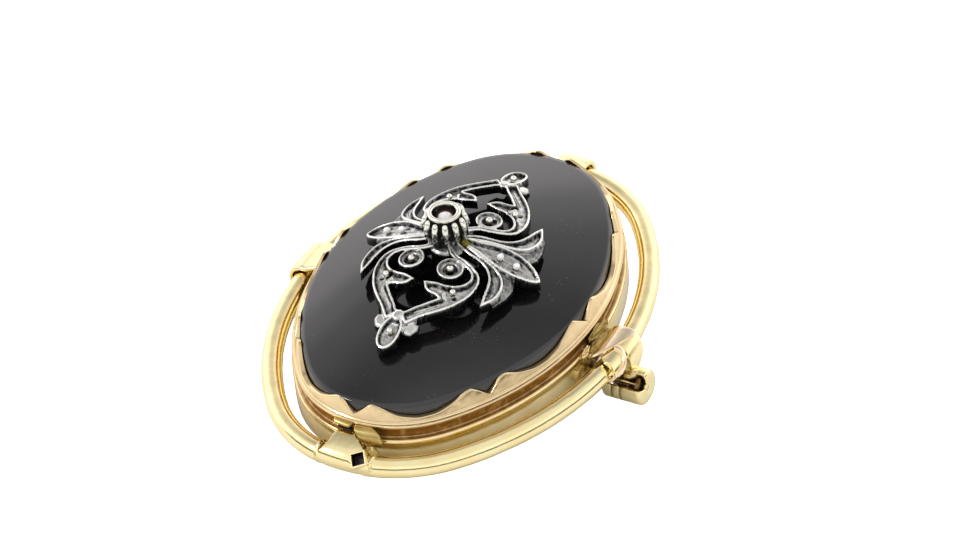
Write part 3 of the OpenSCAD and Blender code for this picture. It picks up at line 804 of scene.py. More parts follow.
faces += [(3, 2, 1, 0), tuple(len(points) - 4 + k for k in range(4))]
seam_ribbon = face_outwards(new_piece("strap_seam", points, faces, gold_rose,
                                      hollow=[0.0] * len(points)))
soft_edges(seam_ribbon, 0.08, 3)
print("seam points:", len(points))

# %% The hinge strap, and what the straps stand for
strap_hinge = band("strap_hinge", hinge_end, [(-2.4, 2.2, -2.2, 1.2), (-1.5, 2.1, -2.5, 1.4)]
                   + hoop(1.62, 98, -100, -2.7, 1.5), -0.45, gold_wire, 0.3)
straps = [strap_near, tab_near, slit_near, fold_near, strap_far, strap_catch, strap_hinge,
          lobe_left, lobe_right, seam_ribbon]
stand_for(straps, "mount")
print("pieces of strap:", len(straps))

# %% [markdown]
# ## Solder
#
# Handmade mounts show solder that ran out of the joints in small uneven lumps. They could be
# painted on with bump, but the larger ones stand out against the white. Each is a sphere that
# is pushed in and out by smooth noise, with its own seed so that it comes out the same each time.


# %% A sphere in mesh code
def ball(at, r, rings=10, sides=16):
    """Points and faces of a sphere."""
    points = [(at[0], at[1], at[2] + r)]
    for i in range(1, rings):
        t = math.pi * i / rings
        points += [(at[0] + r * math.sin(t) * math.cos(a), at[1] + r * math.sin(t) * math.sin(a),
                    at[2] + r * math.cos(t)) for a in [math.tau * k / sides for k in range(sides)]]
    points.append((at[0], at[1], at[2] - r))
    faces = [(0, 1 + k, 1 + (k + 1) % sides) for k in range(sides)]
    for i in range(rings - 2):
        a = 1 + i * sides
        faces += [(a + k, a + sides + k, a + sides + (k + 1) % sides, a + (k + 1) % sides)
                  for k in range(sides)]
    a, last = 1 + (rings - 2) * sides, len(points) - 1
    return points, faces + [(a + k, last, a + (k + 1) % sides) for k in range(sides)]


print("a plain ball has", len(ball((0, 0, 0), 1)[0]), "points")


# %% Solder lumps
def lump(name, centre, radii, material, seed, rough, node="mount"):
    """A blob of solder: a sphere pushed about by noise."""
    points, faces = ball((0, 0, 0), 1, 24, 36)
    moved = []
    for p in points:
        push = 1 + rough * noise.fractal(Vector(p) * 2.2 + Vector((seed, 0, 0)), 0.8, 2, 4)
        moved.append(tuple(centre[i] + p[i] * radii[i] * push for i in range(3)))
    piece = face_outwards(new_piece(name, moved, faces, material, hollow=[0.15] * len(moved)))
    stand_for([piece], node)


lump("solder_near_core", (1.5, -20.2, 1.3), (0.75, 0.6, 0.95), gold_solder, 1.0, 0.3)
lump("solder_near_foot", (2.2, -20.75, 0.55), (0.8, 0.55, 0.7), gold_solder, 4.0, 0.3)
lump("solder_near_wire", (2.95, -21.75, 0.2), (0.45, 0.98, 0.92), gold_wire, 8.0, 0.16)
lump("solder_near_left", (-2.4, -21.85, 0.25), (0.42, 1.08, 1.0), gold_wire, 9.0, 0.12)
lump("solder_catch_inner", (13.85, 0.9, 1.8), (0.4, 1.5, 0.6), gold_solder, 12.0, 0.35)
lump("solder_catch_foot", (13.95, -1.7, 1.15), (0.4, 0.8, 0.6), gold_band, 13.0, 0.3)
lump("solder_catch_gap", (17.3, -0.35, -0.4), (0.3, 0.4, 0.8), gold_solder, 15.0, 0.2)
lump("solder_catch_post", (15.9, -1.15, -1.35), (0.55, 0.6, 0.6), gold_wire, 16.0, 0.15)
lump("solder_catch_neck", (14.35, 0.2, 1.25), (0.55, 1.7, 0.5), gold_solder, 17.0, 0.25)
lump("solder_hinge_inner", (-13.6, 0.8, 2.0), (0.5, 1.1, 0.6), gold_solder, 18.0, 0.3)
lump("solder_far_inner", (0.9, 19.7, 2.0), (1.1, 0.5, 0.6), gold_solder, 21.0, 0.3)
lump("solder_collet", (1.6, -0.3, 8.75), (0.42, 0.4, 0.75), residue, 24.0, 0.3,
     "ornament")

# %% [markdown]
# ## Onyx
#
# The stone is a low dome with a bevelled edge. Its shape must be smooth to a fraction of a
# degree, because a black gloss shows every flat. It is one grid of rings, each an oval a
# little smaller than the last, whose height follows the dome.

# %% The stone
girdle, dome_rise, crown_z = -3.0, 1.9, 6.2


def dome_height(x, y):
    """Height of the dome, with one radius across the oval and another along it."""
    across, along = [((half + girdle) ** 2 + dome_rise ** 2) / (2 * dome_rise)
                     for half in (wire_half_x, wire_half_y)]
    across_drop = along - across + math.sqrt(across ** 2 - x * x)
    return crown_z - along + math.sqrt(across_drop ** 2 - y * y)


rounds, steps = 40, 288
around = [i * 4 * quarter / steps for i in range(steps)]
rows = [[(*oval_point(s, girdle - inset), z) for s in around]
        for inset, z in ((0, 2.02), (0, 2.9), (0.015, 3.06))]
edge = [oval_point(s, girdle - 0.13) for s in around]
rows.append([(x, y, dome_height(x, y) - 0.1) for x, y in edge])
for k in range(rounds):
    f = 1 - (k + 0.15) / (rounds + 0.15) * 0.945
    rows.append([(x * f, y * f, dome_height(x * f, y * f)) for x, y in edge])
points = [p for row in rows for p in row]
faces = [(r * steps + i, r * steps + (i + 1) % steps, (r + 1) * steps + (i + 1) % steps,
          (r + 1) * steps + i) for r in range(len(rows) - 1) for i in range(steps)]
faces.append(tuple(range(steps - 1, -1, -1)))
faces.append(tuple((len(rows) - 1) * steps + i for i in range(steps)))
onyx = face_outwards(new_piece("onyx_dome", points, faces, onyx_polish))
stand_for([onyx], "onyx")
print("onyx faces:", len(onyx.data.polygons))

# %% [markdown]
# ## Ornament
#
# The openwork was pierced from silver and carved: every stem is a shallow channel between two
# raised rails. The pattern repeats four times about the middle, so one quarter is drawn. A
# stem is a table of x, y and width, or a closed outline of x and y where it is too irregular
# for a width.

# %% Limb and leaf outlines
limb_out = [(0.8, 1.1), (1.9, 1.93), (2.9, 2.2), (3.85, 2.6), (4.6, 3.1), (5.0, 3.8), (5.1, 4.7),
            (4.93, 5.75), (4.52, 6.7), (3.97, 7.6), (3.12, 8.55), (2.2, 9.4), (1.5, 10.15),
            (1.0, 10.7)]
limb_in = [(0, 9.7), (0.5, 9.45), (0.97, 8.9), (1.67, 8.2), (2.64, 7.12)]
barb_low = [(2.64, 7.12), (2.15, 6.93), (1.6, 6.9), (1.05, 6.68), (0.78, 6.35), (0.5, 5.93)]
barb_top = [(0.5, 5.93), (1.0, 5.78), (1.65, 5.62), (2.4, 5.58), (3.15, 5.38), (3.75, 4.95),
            (4.12, 4.3), (4.1, 3.65), (3.7, 3.15), (2.9, 2.8), (2.0, 2.55), (1.2, 2.1), (0.6, 1.5)]
leaf_in = [(1.0, 0.6), (2.4, 1.3), (3.3, 1.52), (4.27, 1.8), (4.97, 2.28), (5.49, 3.01),
           (5.76, 3.9), (5.95, 4.95), (6.2, 6.0)]
leaf_out = [(6.2, 6.0), (6.55, 5.38), (6.92, 4.58), (6.98, 3.5), (6.75, 2.6), (6.25, 1.95),
            (5.5, 1.5), (4.6, 1.2), (3.3, 0.85), (1.2, 0.1)]
web = [(4.2, 0.9), (5.5, 1.3), (7.1, 1.2), (7.5, 2.3), (7.4, 3.5), (6.95, 4.9), (6.5, 5.3),
       (6.6, 3.4), (6.2, 2.2), (5.2, 1.7)]
bud = [(0.6, 10.3), (1.5, 9.95), (2.15, 10.05), (2.25, 10.6), (1.8, 11.3), (1.2, 11.35),
       (0.7, 10.9)]
centre_leaf = [(1.3, 0, 0.8), (3.4, 0, 1.5), (4.8, 0, 2.3), (6.2, 0, 2.7), (7.5, 0, 2.1),
               (8.4, 0, 1.1), (9, 0, 0.1)]
end_lobe = [(0, 10, 1), (0, 10.7, 1.3), (0, 11.2, 1.85), (0, 11.8, 2.05), (0, 12.4, 1.9),
            (0, 12.85, 1.3), (0, 13.1, 0.4)]
scroll_at, scroll_r = (2.0, 3.7), 1.22
print("outline points drawn:", sum(len(t) for t in (limb_out, limb_in, barb_low, barb_top, leaf_in,
                                                    leaf_out, web, bud)))

# %% [markdown]
# ## Depth inside a stem
#
# For each point of a fine grid the script measures how deep it lies inside each stem. The
# pattern could be cut with booleans, but the depth does more: it gives the height of the
# channel at that point, the rail along its edge and the dark in its corners, which is oxide and
# painted shade.


# %% Smooth a path
def smooth_path(table, steps=6):
    """A smooth curve through a table's rows."""
    rows = [np.array(r, float) for r in table]
    out = []
    for i in range(len(rows) - 1):
        a, b, c, d = rows[max(i - 1, 0)], rows[i], rows[i + 1], rows[min(i + 2, len(rows) - 1)]
        for k in range(steps):
            f = k / steps
            out.append(0.5 * (2 * b + (c - a) * f + (2 * a - 5 * b + 4 * c - d) * f * f
                              + (3 * b - a - 3 * c + d) * f ** 3))
    return np.array(out + [rows[-1]])


print("the centre leaf has", len(smooth_path(centre_leaf)), "rows once it is smooth")


# %% How deep a point lies
def inside_depth(x, y, path):
    """How far each point lies inside a stem: positive inside, negative outside."""
    best = np.full(x.shape, -9.0)
    for a, b in zip(path[:-1], path[1:]):
        way = b[:2] - a[:2]
        t = np.clip(((x - a[0]) * way[0] + (y - a[1]) * way[1]) / max(way @ way, 1e-9), 0, 1)
        away = np.hypot(x - a[0] - t * way[0], y - a[1] - t * way[1])
        best = np.maximum(best, (a[2] + t * (b[2] - a[2])) / 2 - away)
    return best


def outline_depth(x, y, outline):
    """How far each point lies inside a closed outline: positive inside, negative outside."""
    away, inside = np.full(x.shape, 9.0), np.zeros(x.shape, bool)
    for a, b in zip(outline, np.roll(outline, -1, axis=0)):
        way = b[:2] - a[:2]
        t = np.clip(((x - a[0]) * way[0] + (y - a[1]) * way[1]) / max(way @ way, 1e-9), 0, 1)
        away = np.minimum(away, np.hypot(x - a[0] - t * way[0], y - a[1] - t * way[1]))
        crosses = (a[1] > y) != (b[1] > y)
        inside ^= crosses & (x < a[0] + (y - a[1]) / (way[1] if way[1] else 1e-9) * way[0])
    return np.where(inside, away, -away)


middle = outline_depth(np.array([1.4]), np.array([10.6]), np.array(bud))[0]
print("the bud's middle lies", round(float(middle), 2), "mm inside its outline")

# %% [markdown]
# ## Profiles
#
# A profile turns a depth into a height and a number for oxide and painted shade. The channel
# has a rail, a drop and a floor that is lighter in its middle. The scroll is a small dish, the
# buds are plain rounds, the webs lie low between the stems, and ridges are thin bars on a
# channel's floor.


# %% Height and dirt by depth
def step(x, low, high):
    """0 below low, 1 above high and a smooth S between them."""
    t = np.clip((x - low) / (high - low), 0, 1)
    return t * t * (3 - 2 * t)


def channel(depth, recess=0.36, rail=0.22):
    """Height, and oxide with painted shade, of a channelled stem at a depth inside it."""
    height = -0.1 * step(-depth, -0.1, 0.03) - 1.2 * step(-depth, 0, 0.16)
    height -= recess * step(depth, rail - 0.04, rail + 0.1)
    height -= 0.07 * step(depth, rail + 0.1, rail + 0.45)
    dirt_and_shade = 0.04 + step(depth, rail - 0.05, rail + 0.05) * (
        1.0 - 0.72 * step(depth, rail + 0.1, rail + 0.3))
    return height, dirt_and_shade + 0.9 * step(-depth, -0.02, 0.06)


def dish(depth):
    """A scroll: a bright rim, a grey step inside it and a dark bowl."""
    height = -0.12 * step(-depth, -0.1, 0.03) - 1.2 * step(-depth, 0, 0.16)
    height -= 0.22 * step(depth, 0.17, 0.27) + 0.3 * step(depth, 0.5, 0.64)
    return height, (0.1 + 0.75 * step(depth, 0.15, 0.22) - 0.55 * step(depth, 0.26, 0.36)
                    + 0.95 * step(depth, 0.48, 0.6))


def rounded(depth):
    """A plain rounded stem."""
    height = -0.16 * step(-depth, -0.2, 0) - 1.2 * step(-depth, 0, 0.16)
    return height, 0.2 + 0.7 * step(-depth, -0.12, 0.04)


def low_web(depth):
    """A plain flange, lower than the rails beside it."""
    return -0.45 - 0.2 * step(-depth, -0.3, 0) - 1.2 * step(-depth, 0, 0.16), 0.55 + 0 * depth


def ridge(depth):
    """A low cross bar or ridge on a channel's floor."""
    height = -0.24 - 0.06 * step(-depth, -0.08, 0.0) - 1.2 * step(-depth, 0, 0.05)
    return height, 0.12 + 0.4 * step(-depth, -0.05, 0)


print("channel floor:", round(float(channel(np.array([0.6]))[0][0]), 2), "mm from the rail's top")

# %% The whole quarter: how each stem is measured, its path, its profile and its lift
limb_outline = np.concatenate([smooth_path(t) for t in (limb_out, limb_in, barb_low, barb_top)])
leaf_outline = np.concatenate([smooth_path(t) for t in (leaf_in, leaf_out)])
hub_path = [(0, 0, 4.3), (0.01, 0, 4.3)]
scroll_path = [(*scroll_at, 2 * scroll_r), (scroll_at[0] + 0.01, scroll_at[1], 2 * scroll_r)]
stems = [(inside_depth, smooth_path(centre_leaf), channel, 0.02),
         (inside_depth, smooth_path(end_lobe), channel, 0.0),
         (inside_depth, [(0, 10.1, 1.0), (0, 10.2, 1.0)], rounded, 0.1),
         (inside_depth, hub_path, low_web, 0.12), (inside_depth, scroll_path, dish, 0.03),
         (outline_depth, limb_outline, channel, 0.0), (outline_depth, leaf_outline, channel, 0.0),
         (outline_depth, web, low_web, 0.0), (outline_depth, bud, rounded, -0.4),
         (inside_depth, [(2.72, 6.2, 0.34), (2.95, 6.75, 0.34)], ridge, 0.0),
         (inside_depth, [(2.95, 7.5, 0.14), (2.1, 8.35, 0.14), (1.2, 9.2, 0.12)], ridge, -0.05),
         (inside_depth, [(4.62, 3.6, 0.14), (4.66, 4.6, 0.14), (4.5, 5.3, 0.12)], ridge, -0.05),
         (inside_depth, [(3.6, 0, 0.1), (7.8, 0, 0.1)], ridge, -0.1),
         (inside_depth, [(5.6, 2.4, 0.12), (6.25, 3.2, 0.12), (6.4, 4.4, 0.1)], ridge, -0.08)]
stems = [(measure, np.array(path), profile, lift) for measure, path, profile, lift in stems]
pits = [(3.1, 5.72, 0.2), (3.72, 6.28, 0.17), (4.75, 0.52, 0.16), (6.75, 0.62, 0.16)]
print("stems:", len(stems), "pits:", len(pits))

# %% The pattern on its dome
ornament_x, ornament_z, ornament_curve, ornament_long_curve = -0.2, 9.25, 17.1, 34.7


def top_z(x, y):
    """Height of the low dome that the openwork follows."""
    return ornament_z - ornament_long_curve + np.sqrt(
        (ornament_long_curve - ornament_curve + np.sqrt(ornament_curve ** 2 - x * x)) ** 2 - y * y)


def carved(x, y):
    """Depth inside the whole pattern, height above the dome, and oxide with painted shade at
    drawing points.
    """
    ax, ay = np.abs(x), np.abs(y)
    depth, height, dirt_and_shade = np.full(x.shape, -9.0), np.full(x.shape, -9.0), np.ones(x.shape)
    for measure, path, profile, lift in stems:
        d = measure(ax, ay, path)
        h, g = profile(d)
        h = h + lift
        dirt_and_shade = np.where(h > height, g, dirt_and_shade)
        height = np.maximum(height, h)
        depth = np.maximum(depth, d)
    # Pits are sunk and darkened: oxide and painted shade in them.
    for px, py, r in pits:
        hole = step(-np.hypot(ax - px, ay - py), -1.4 * r, -0.6 * r)
        height, dirt_and_shade = height - 0.25 * hole, dirt_and_shade + 1.1 * hole
    return depth, height, dirt_and_shade


print("top of the dome:", round(float(top_z(0.0, 0.0)), 2), "mm, at an end lobe",
      round(float(top_z(0.0, 11.7)), 2), "mm")

# %% [markdown]
# ## Openwork
#
# A grid of square cells follows the pattern. On its own it would leave steps along the cut
# edge, so the grid's outer points first move onto the outline. Then the cells inside are kept,
# copied below and joined by walls, which have the dark finish of a sawn edge with painted shade
# in it; the copy below is black, which paints the shade under the openwork.

# %% The openwork's grid
pitch, wall, grid_x, grid_y = 0.075, 1.0, 9.3, 13.7
gx, gy = np.meshgrid(np.arange(-grid_x, grid_x + 0.01, pitch),
                     np.arange(-grid_y, grid_y + 0.01, pitch), indexing="ij")
depth = carved(gx, gy)[0]
for _ in range(3):
    ex = (carved(gx + 0.01, gy)[0] - carved(gx - 0.01, gy)[0]) / 0.02
    ey = (carved(gx, gy + 0.01)[0] - carved(gx, gy - 0.01)[0]) / 0.02
    size = np.maximum(ex * ex + ey * ey, 0.25)
    move = np.where((depth < 0.012) & (depth > -1.45 * pitch), -depth + 0.004, 0) / size
    gx, gy = gx + ex * move, gy + ey * move
    depth = carved(gx, gy)[0]
inside = depth > -0.02
_, height, dirt_and_shade = carved(gx, gy)
cells = inside[:-1, :-1] & inside[1:, :-1] & inside[1:, 1:] & inside[:-1, 1:]
print("openwork cells:", int(cells.sum()))

# %% The openwork's mesh
used = np.full(gx.shape, -1)
points, hollow, faces, borders = [], [], [], {}
top = top_z(gx, gy)
for i, j in zip(*np.nonzero(cells)):
    corners = []
    for a, b in ((i, j), (i + 1, j), (i + 1, j + 1), (i, j + 1)):
        if used[a, b] < 0:
            used[a, b] = len(points)
            points.append((gx[a, b] + ornament_x, gy[a, b], top[a, b] + max(height[a, b], -0.8)))
            hollow.append(float(min(dirt_and_shade[a, b], 1)))
        corners.append(int(used[a, b]))
    faces.append(tuple(corners))
    for a, b in zip(corners, corners[1:] + corners[:1]):
        if (b, a) in borders:
            del borders[(b, a)]
        else:
            borders[(a, b)] = True
count = len(points)
lower = [(x, y, float(top_z(x - ornament_x, y)) - wall) for x, y, z in points]
# The copy below takes hollow 1, black: painted shade under the openwork, with oxide.
points, hollow = points + lower, hollow + [1.0] * count
faces += [tuple(count + k for k in reversed(f)) for f in faces]
faces += [(b, a, a + count, b + count) for a, b in borders]
openwork = new_piece("openwork", points, faces, silver, hollow=hollow)
openwork.data.materials.append(silver_dark)
for face in openwork.data.polygons[2 * int(cells.sum()):]:
    face.material_index = 1
stand_for([openwork], "ornament")
print("openwork faces:", len(faces))

# %% [markdown]
# ## Grains
#
# Small balls of silver sit in the channels, in the scrolls and in the end lobes. They are
# ball-headed pegs on the real piece. Each one is a small sphere, sunk a little into its stem,
# and its lower part is dark: oxide and painted shade under it. They share one mesh, because
# they are all one kind of thing.

# %% Grains
def join(parts):
    """Puts (points, faces) pairs into one list of points and one of faces."""
    points, faces = [], []
    for p, f in parts:
        faces += [tuple(len(points) + k for k in face) for face in f]
        points += p
    return points, faces


grain_sink = 0.15
grains = [(3.45, 5.95, 0.3), (2.0, 3.7, 0.36)]
end_grain_y, end_grain_r = 11.7, 0.32
balls = [ball((sx * x + ornament_x, sy * y, float(top_z(x, y)) - grain_sink), r)
         for x, y, r in grains for sx in (-1, 1) for sy in (-1, 1)]
balls += [ball((ornament_x, sy * end_grain_y, float(top_z(0, end_grain_y)) - grain_sink),
               end_grain_r) for sy in (-1, 1)]
points, faces = join(balls)
ball_points, bright_points = len(balls[0][0]), 100
# The lower points of each ball are marked black: oxide and painted shade under each grain.
grain_oxide_and_shade = [0.0 if k % ball_points < bright_points else 1.0 for k in range(len(points))]
grain_piece = face_outwards(new_piece("grains", points, faces, silver_bright, hollow=grain_oxide_and_shade))
stand_for([grain_piece], "ornament")
print("grains:", len(balls))

# %% [markdown]
# ## Collet
#
# The middle stone sits in a fluted cup with twelve claws and a bright rim. The cup is turned
# about its axis with its flutes pressed in, so one profile makes it. The claws are short
# tapered rods with round heads, bent in over the rim, and the rim is a rod bent to a ring.

# %% The cup
collet_at = (-0.6, 0.1)
cup_profile = [(1.6, 6.3), (1.6, 7.9), (1.8, 8.0), (1.9, 8.3), (1.97, 8.9), (2.02, 9.5),
               (2.03, 9.9), (2.0, 9.97), (1.84, 10.0), (1.84, 10.4), (1.74, 10.95), (1.5, 11.4),
               (1.36, 11.75), (1.26, 11.8), (1.17, 11.7), (1.15, 10.95), (0.05, 10.9)]
turns, claws, flute_deep = 144, 12, 0.14
points, hollow = [], []
# Above z 9.95, below z 7.95 and in the flutes the hollow number darkens the silver: oxide and
# painted shade.
for r, z in cup_profile:
    for k in range(turns):
        a = math.tau * k / turns
        wave = abs(math.cos(claws / 2 * a))
        flute = flute_deep * (1 - wave) if 1.7 < r and z < 9.95 else 0
        points.append((collet_at[0] + (r - flute) * math.cos(a),
                       collet_at[1] + (r - flute) * math.sin(a), z))
        hollow.append(1.3 if z > 9.95 or z < 7.95 else min(1, 0.3 + 0.65 * (1 - wave)))
faces = [(i * turns + k, i * turns + (k + 1) % turns, (i + 1) * turns + (k + 1) % turns,
          (i + 1) * turns + k) for i in range(len(cup_profile) - 1) for k in range(turns)]
cup = face_outwards(new_piece("collet_cup", points, faces, silver, hollow=hollow))
stand_for([cup], "ornament")
print("cup faces:", len(faces))


# %% Round rods
def rod(path, sides=10):
    """Points and faces of a round rod along a path of x, y, z, radius; its ends are closed."""
    points, faces, n = [], [], len(path)
    for i in range(n):
        way = (Vector(path[min(i + 1, n - 1)][:3]) - Vector(path[max(i - 1, 0)][:3])).normalized()
        turn = way.to_track_quat("Z", "Y").to_matrix()
        centre, r = Vector(path[i][:3]), path[i][3]
        points += [tuple(centre + turn @ Vector((r * math.cos(a), r * math.sin(a), 0)))
                   for a in [math.tau * k / sides for k in range(sides)]]
    for i in range(n - 1):
        faces += [(i * sides + k, i * sides + (k + 1) % sides, (i + 1) * sides + (k + 1) % sides,
                   (i + 1) * sides + k) for k in range(sides)]
    ends = [tuple(range(sides - 1, -1, -1)), tuple((n - 1) * sides + k for k in range(sides))]
    return points, faces + ends


print("a rod of two stations has", len(rod([(0, 0, 0, 1), (0, 0, 1, 1)])[1]), "faces")

# %% Claws and rim
claw_path = [(1.95, 9.9, 0.1), (1.99, 10.0, 0.24), (1.98, 10.35, 0.28), (1.88, 10.85, 0.3),
             (1.76, 11.25, 0.3), (1.66, 11.45, 0.25), (1.6, 11.54, 0.15), (1.57, 11.57, 0.04)]
rods = []
for k in range(claws):
    a = math.tau * k / claws
    rods.append(rod([(collet_at[0] + r * math.cos(a), collet_at[1] + r * math.sin(a), z, w)
                     for r, z, w in claw_path]))
points, faces = join(rods)
claw_piece = face_outwards(new_piece("collet_claws", points, faces, silver_bright,
                                     hollow=[0.0] * len(points)))
rim_r, rim_z, rim_thick = 1.32, 11.78, 0.23
rim = [(collet_at[0] + rim_r * math.cos(a), collet_at[1] + rim_r * math.sin(a), rim_z, rim_thick)
       for a in [math.tau * k / 64 for k in range(65)]]
points, faces = rod(rim, 12)
rim_piece = face_outwards(new_piece("collet_rim", points, faces, silver_bright,
                                    hollow=[0.0] * len(points)))
stand_for([claw_piece, rim_piece], "ornament")
print("claws:", len(rods))

# %% [markdown]
# ## Middle stone
#
# The middle stone is a small rose-cut chip on a reddish foil. A smooth dome with a bump would
# not sparkle, so it is cut in three rows of flat facets and keeps flat shading, and each facet
# catches its own light.

# %% Middle stone
def rose_cut_mesh(at, r, height, sides=8):
    """Points and faces of a rose cut: a flat base and three rows of facets."""
    points = []
    for share, up, shift in ((1, 0, 0), (0.97, 0.3, 0), (0.72, 0.72, 0.5), (0.34, 0.97, 0)):
        points += [(at[0] + r * share * math.cos(math.tau * (k + shift) / sides),
                    at[1] + r * share * math.sin(math.tau * (k + shift) / sides),
                    at[2] + height * up) for k in range(sides)]
    faces = [tuple(range(sides - 1, -1, -1)), tuple(range(3 * sides, 4 * sides))]
    for row in range(3):
        a, b = row * sides, (row + 1) * sides
        for k in range(sides):
            n = (k + 1) % sides
            faces += ([(a + k, a + n, b + k), (a + n, b + n, b + k)] if row != 2 else
                      [(a + k, a + n, b + n), (a + k, b + n, b + k)])
    return points, faces


points, faces = rose_cut_mesh((collet_at[0] + 0.12, collet_at[1] - 0.12, 11.2), 0.74, 0.55)
stone = face_outwards(new_piece("middle_stone", points, faces, rose_cut, smooth=False))
points, faces = rose_cut_mesh((collet_at[0] - 0.1, collet_at[1] + 0.2, 11.0), 0.95, 0.5, 7)
foil = face_outwards(new_piece("foil_bed", points, faces, foil_red, smooth=False))
stand_for([stone, foil], "centre_stone")
print("middle stone facets:", len(stone.data.polygons))

# %% [markdown]
# ## Catch
#
# The catch is a barrel soldered under the wire. Its upper front is cut open so that the pin's
# end shows. The cut goes on into the domed outer end, and the inner end is closed but for a hole
# for the pin. It is bent from sheet on the real brooch, so here it is a thin shell with the
# window left out, thickened inwards. Angles go from +Y towards +Z.

# %% The barrel
pin_z, catch_x, catch_r = -2.6, 15.5, 1.7
window_from, window_to, slot_at, slot_half, slot_end = 100, 158, 270, 22, 3.35
lengths = [0, 0.3, 0.54, 0.58, 0.62, 0.7, 0.74, 1.1, 1.36, 1.4, 1.44, 1.5, 1.54, 2, 2.5, 3, 3.2,
           3.35, 3.42, 3.48, 3.54, 3.58, 3.6]
ring_lines = (0.62, 0.7, 1.44, 1.5)
shell = [(catch_r - (0.15 if at in ring_lines else 0)
          - (0.3 * ((at - 3.2) / 0.4) ** 3 if at > 3.2 else 0), at) for at in lengths]
shell = [(0.62, -0.33), (1.35, -0.33), (1.64, -0.28), (1.7, -0.15)] + shell
shell += [(1.0, 3.63), (0.5, 3.65), (0.02, 3.65)]
points, hollow, faces, turns = [], [], [], 120
# The ring lines get a high hollow number, which paints the shade in their grooves dark brown.
for r, at in shell:
    for k in range(turns):
        a = math.tau * k / turns
        points.append((catch_x + at, r * math.cos(a), pin_z + r * math.sin(a)))
        hollow.append(1.5 if at in ring_lines else 0.0)
for i in range(len(shell) - 1):
    for k in range(turns):
        degrees = 360 * (k + 0.5) / turns
        r, at = shell[i + 1]
        if window_from < degrees < window_to and at > 0 and r > 0.3:
            continue
        if abs(degrees - slot_at) < slot_half and at <= slot_end:
            continue
        faces.append((i * turns + k, i * turns + (k + 1) % turns,
                      (i + 1) * turns + (k + 1) % turns, (i + 1) * turns + k))
barrel = face_outwards(new_piece("catch_barrel", points, faces, gold_wire, hollow=hollow))
thick = barrel.modifiers.new("wall", "SOLIDIFY")
thick.thickness = 0.33 * MM
thick.offset = -1
stand_for([barrel], "mount")
print("barrel faces:", len(faces))

# %% [markdown]
# ## Posts and hinge
#
# Two short posts carry the barrel under the wire. At the other end two ears hold the pin on a
# rivet. The photograph hides the hinge, so it is plain: two rounded plates of sheet with a gap
# for the pin's eye. They are drawn as one outline, given a thickness, and copied.

# %% Posts, hinge ears and rivet
posts = [rod([(15.7, 0, pin_z + 1.25, 1.1), (15.7, 0, -0.2, 1.15)], 32),
         rod([(17.6, -0.2, pin_z + 1.25, 0.75), (17.5, -0.2, -1.0, 0.7)], 32)]
# The posts take a hollow number of 0.4: painted shade under the wire.
points, faces = join(posts)
post_piece = face_outwards(new_piece("catch_posts", points, faces, gold_wire,
                                     hollow=[0.4] * len(points)))
hinge_x, ear_r, ear_gap, ear_wall, rivet_r = -14.6, 1.55, 0.62, 0.65, 0.42
ears = []
for side in (-1, 1):
    y0, y1 = side * ear_gap, side * (ear_gap + ear_wall)
    outline = [(hinge_x + ear_r * math.cos(a), pin_z + ear_r * math.sin(a))
               for a in [math.radians(180 + 180 * k / 24) for k in range(25)]]
    outline += [(hinge_x + 1.0, -0.2), (hinge_x - 1.1, -0.2)]
    n = len(outline)
    points = [(x, y, z) for y in (y0, y1) for x, z in outline]
    faces = [tuple(range(n)), tuple(range(2 * n - 1, n - 1, -1))]
    faces += [(k, (k + 1) % n, n + (k + 1) % n, n + k) for k in range(n)]
    ears.append((points, faces))
ears.append(rod([(hinge_x, -1.4, pin_z, rivet_r), (hinge_x, 1.4, pin_z, rivet_r)], 20))
points, faces = join(ears)
ear_piece = face_outwards(new_piece("hinge_ears", points, faces, gold, smooth=False,
                                    hollow=[0.1] * len(points)))
soft_edges(ear_piece, 0.08)
print("hinge points:", len(points))

# %% [markdown]
# ## Pendant socket
#
# The near strap has a square mouth for the tongue of a detachable pendant loop. It is a small
# square tube with a rim, soldered into a window in the strap. The window is cut with a box
# through the strap and the wire behind it, so that nothing of them stands in the mouth.

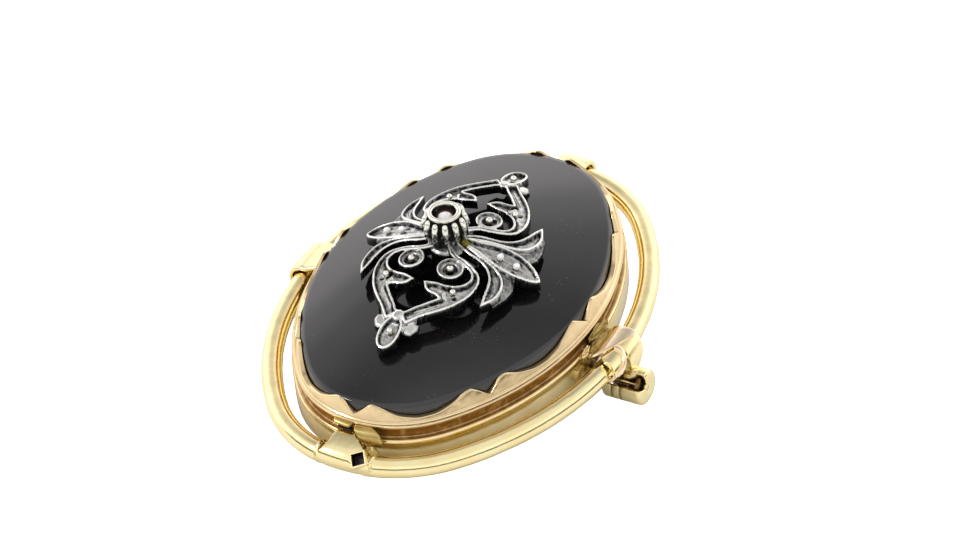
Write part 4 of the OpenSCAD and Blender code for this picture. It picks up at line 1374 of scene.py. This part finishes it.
# %% The socket
half, rim_wide, mouth, floor_at = 0.55, 0.2, 1.86, 1.02
place = (Matrix.Translation(Vector((1.98, -21.59, -0.15)))
         @ Matrix.Rotation(math.radians(35), 4, "X") @ Matrix.Rotation(math.radians(30), 4, "Z"))
corners = [(-1, -1), (1, -1), (1, 1), (-1, 1)]
levels = [(half + rim_wide, 1.0), (half + rim_wide, mouth), (half, mouth), (half, floor_at)]
points = [tuple(place @ Vector((x * w, y * w, z))) for w, z in levels for x, y in corners]
faces = [(3, 2, 1, 0), (12, 13, 14, 15)]
for ring_at in (0, 4, 8):
    faces += [(ring_at + k, ring_at + (k + 1) % 4, ring_at + 4 + (k + 1) % 4, ring_at + 4 + k)
              for k in range(4)]
socket = face_outwards(new_piece("pendant_socket", points, faces, gold_wire, smooth=False,
                                 hollow=[0.0] * 12 + [1.0] * 4))
# The inner walls and floor take the near black inside finish: painted shade in the mouth.
socket.data.materials.append(tarnish_and_shade_dark)
for face in socket.data.polygons:
    if face.index == 1 or face.index >= 10:
        face.material_index = 1
soft_edges(socket, 0.09, 3)
print("socket", 2 * half, "mm wide and", round(mouth - floor_at, 2), "mm deep")

# %% The window
cut_half, cut_low, cut_high = 0.57, 0.9, 2.6
box = [tuple(place @ Vector((x * cut_half, y * cut_half, z)))
       for z in (cut_low, cut_high) for x, y in corners]
cutter = face_outwards(new_piece("cutter", box, [(3, 2, 1, 0), (4, 5, 6, 7)]
                                 + [(k, (k + 1) % 4, 4 + (k + 1) % 4, 4 + k) for k in range(4)],
                                 gold))
for piece in (strap_near, wire):
    cut = piece.modifiers.new("cut", "BOOLEAN")
    cut.operation = "DIFFERENCE"
    cut.object = cutter
    shaped = bpy.data.meshes.new_from_object(
        piece.evaluated_get(bpy.context.evaluated_depsgraph_get()))
    piece.modifiers.clear()
    piece.data = shaped
bpy.data.objects.remove(cutter)
stand_for([post_piece, ear_piece, socket], "mount")
print("strap faces after the cut:", len(strap_near.data.polygons))

# %% [markdown]
# ## What stays from the CAD model
#
# The pin, the roller of the catch and the four leaf stones already have the right shapes, so
# they stay. They, and the hidden nodes behind the new pieces, get their finishes on the
# object's slots, which leaves the meshes as they came.

# %% Finish the nodes
finishes = {"mount": gold, "onyx": onyx_polish, "ornament": silver, "pin_stem": gold_rose,
            "catch_roller": gold_inside}
finishes.update({f"leaf_stone_{i}": chip_white for i in range(1, 5)})
for name, finish in finishes.items():
    for slot in nodes[name].material_slots:
        slot.link = "OBJECT"
        slot.material = finish
    print(name, "takes", finish.name, "in", len(nodes[name].material_slots), "slot")
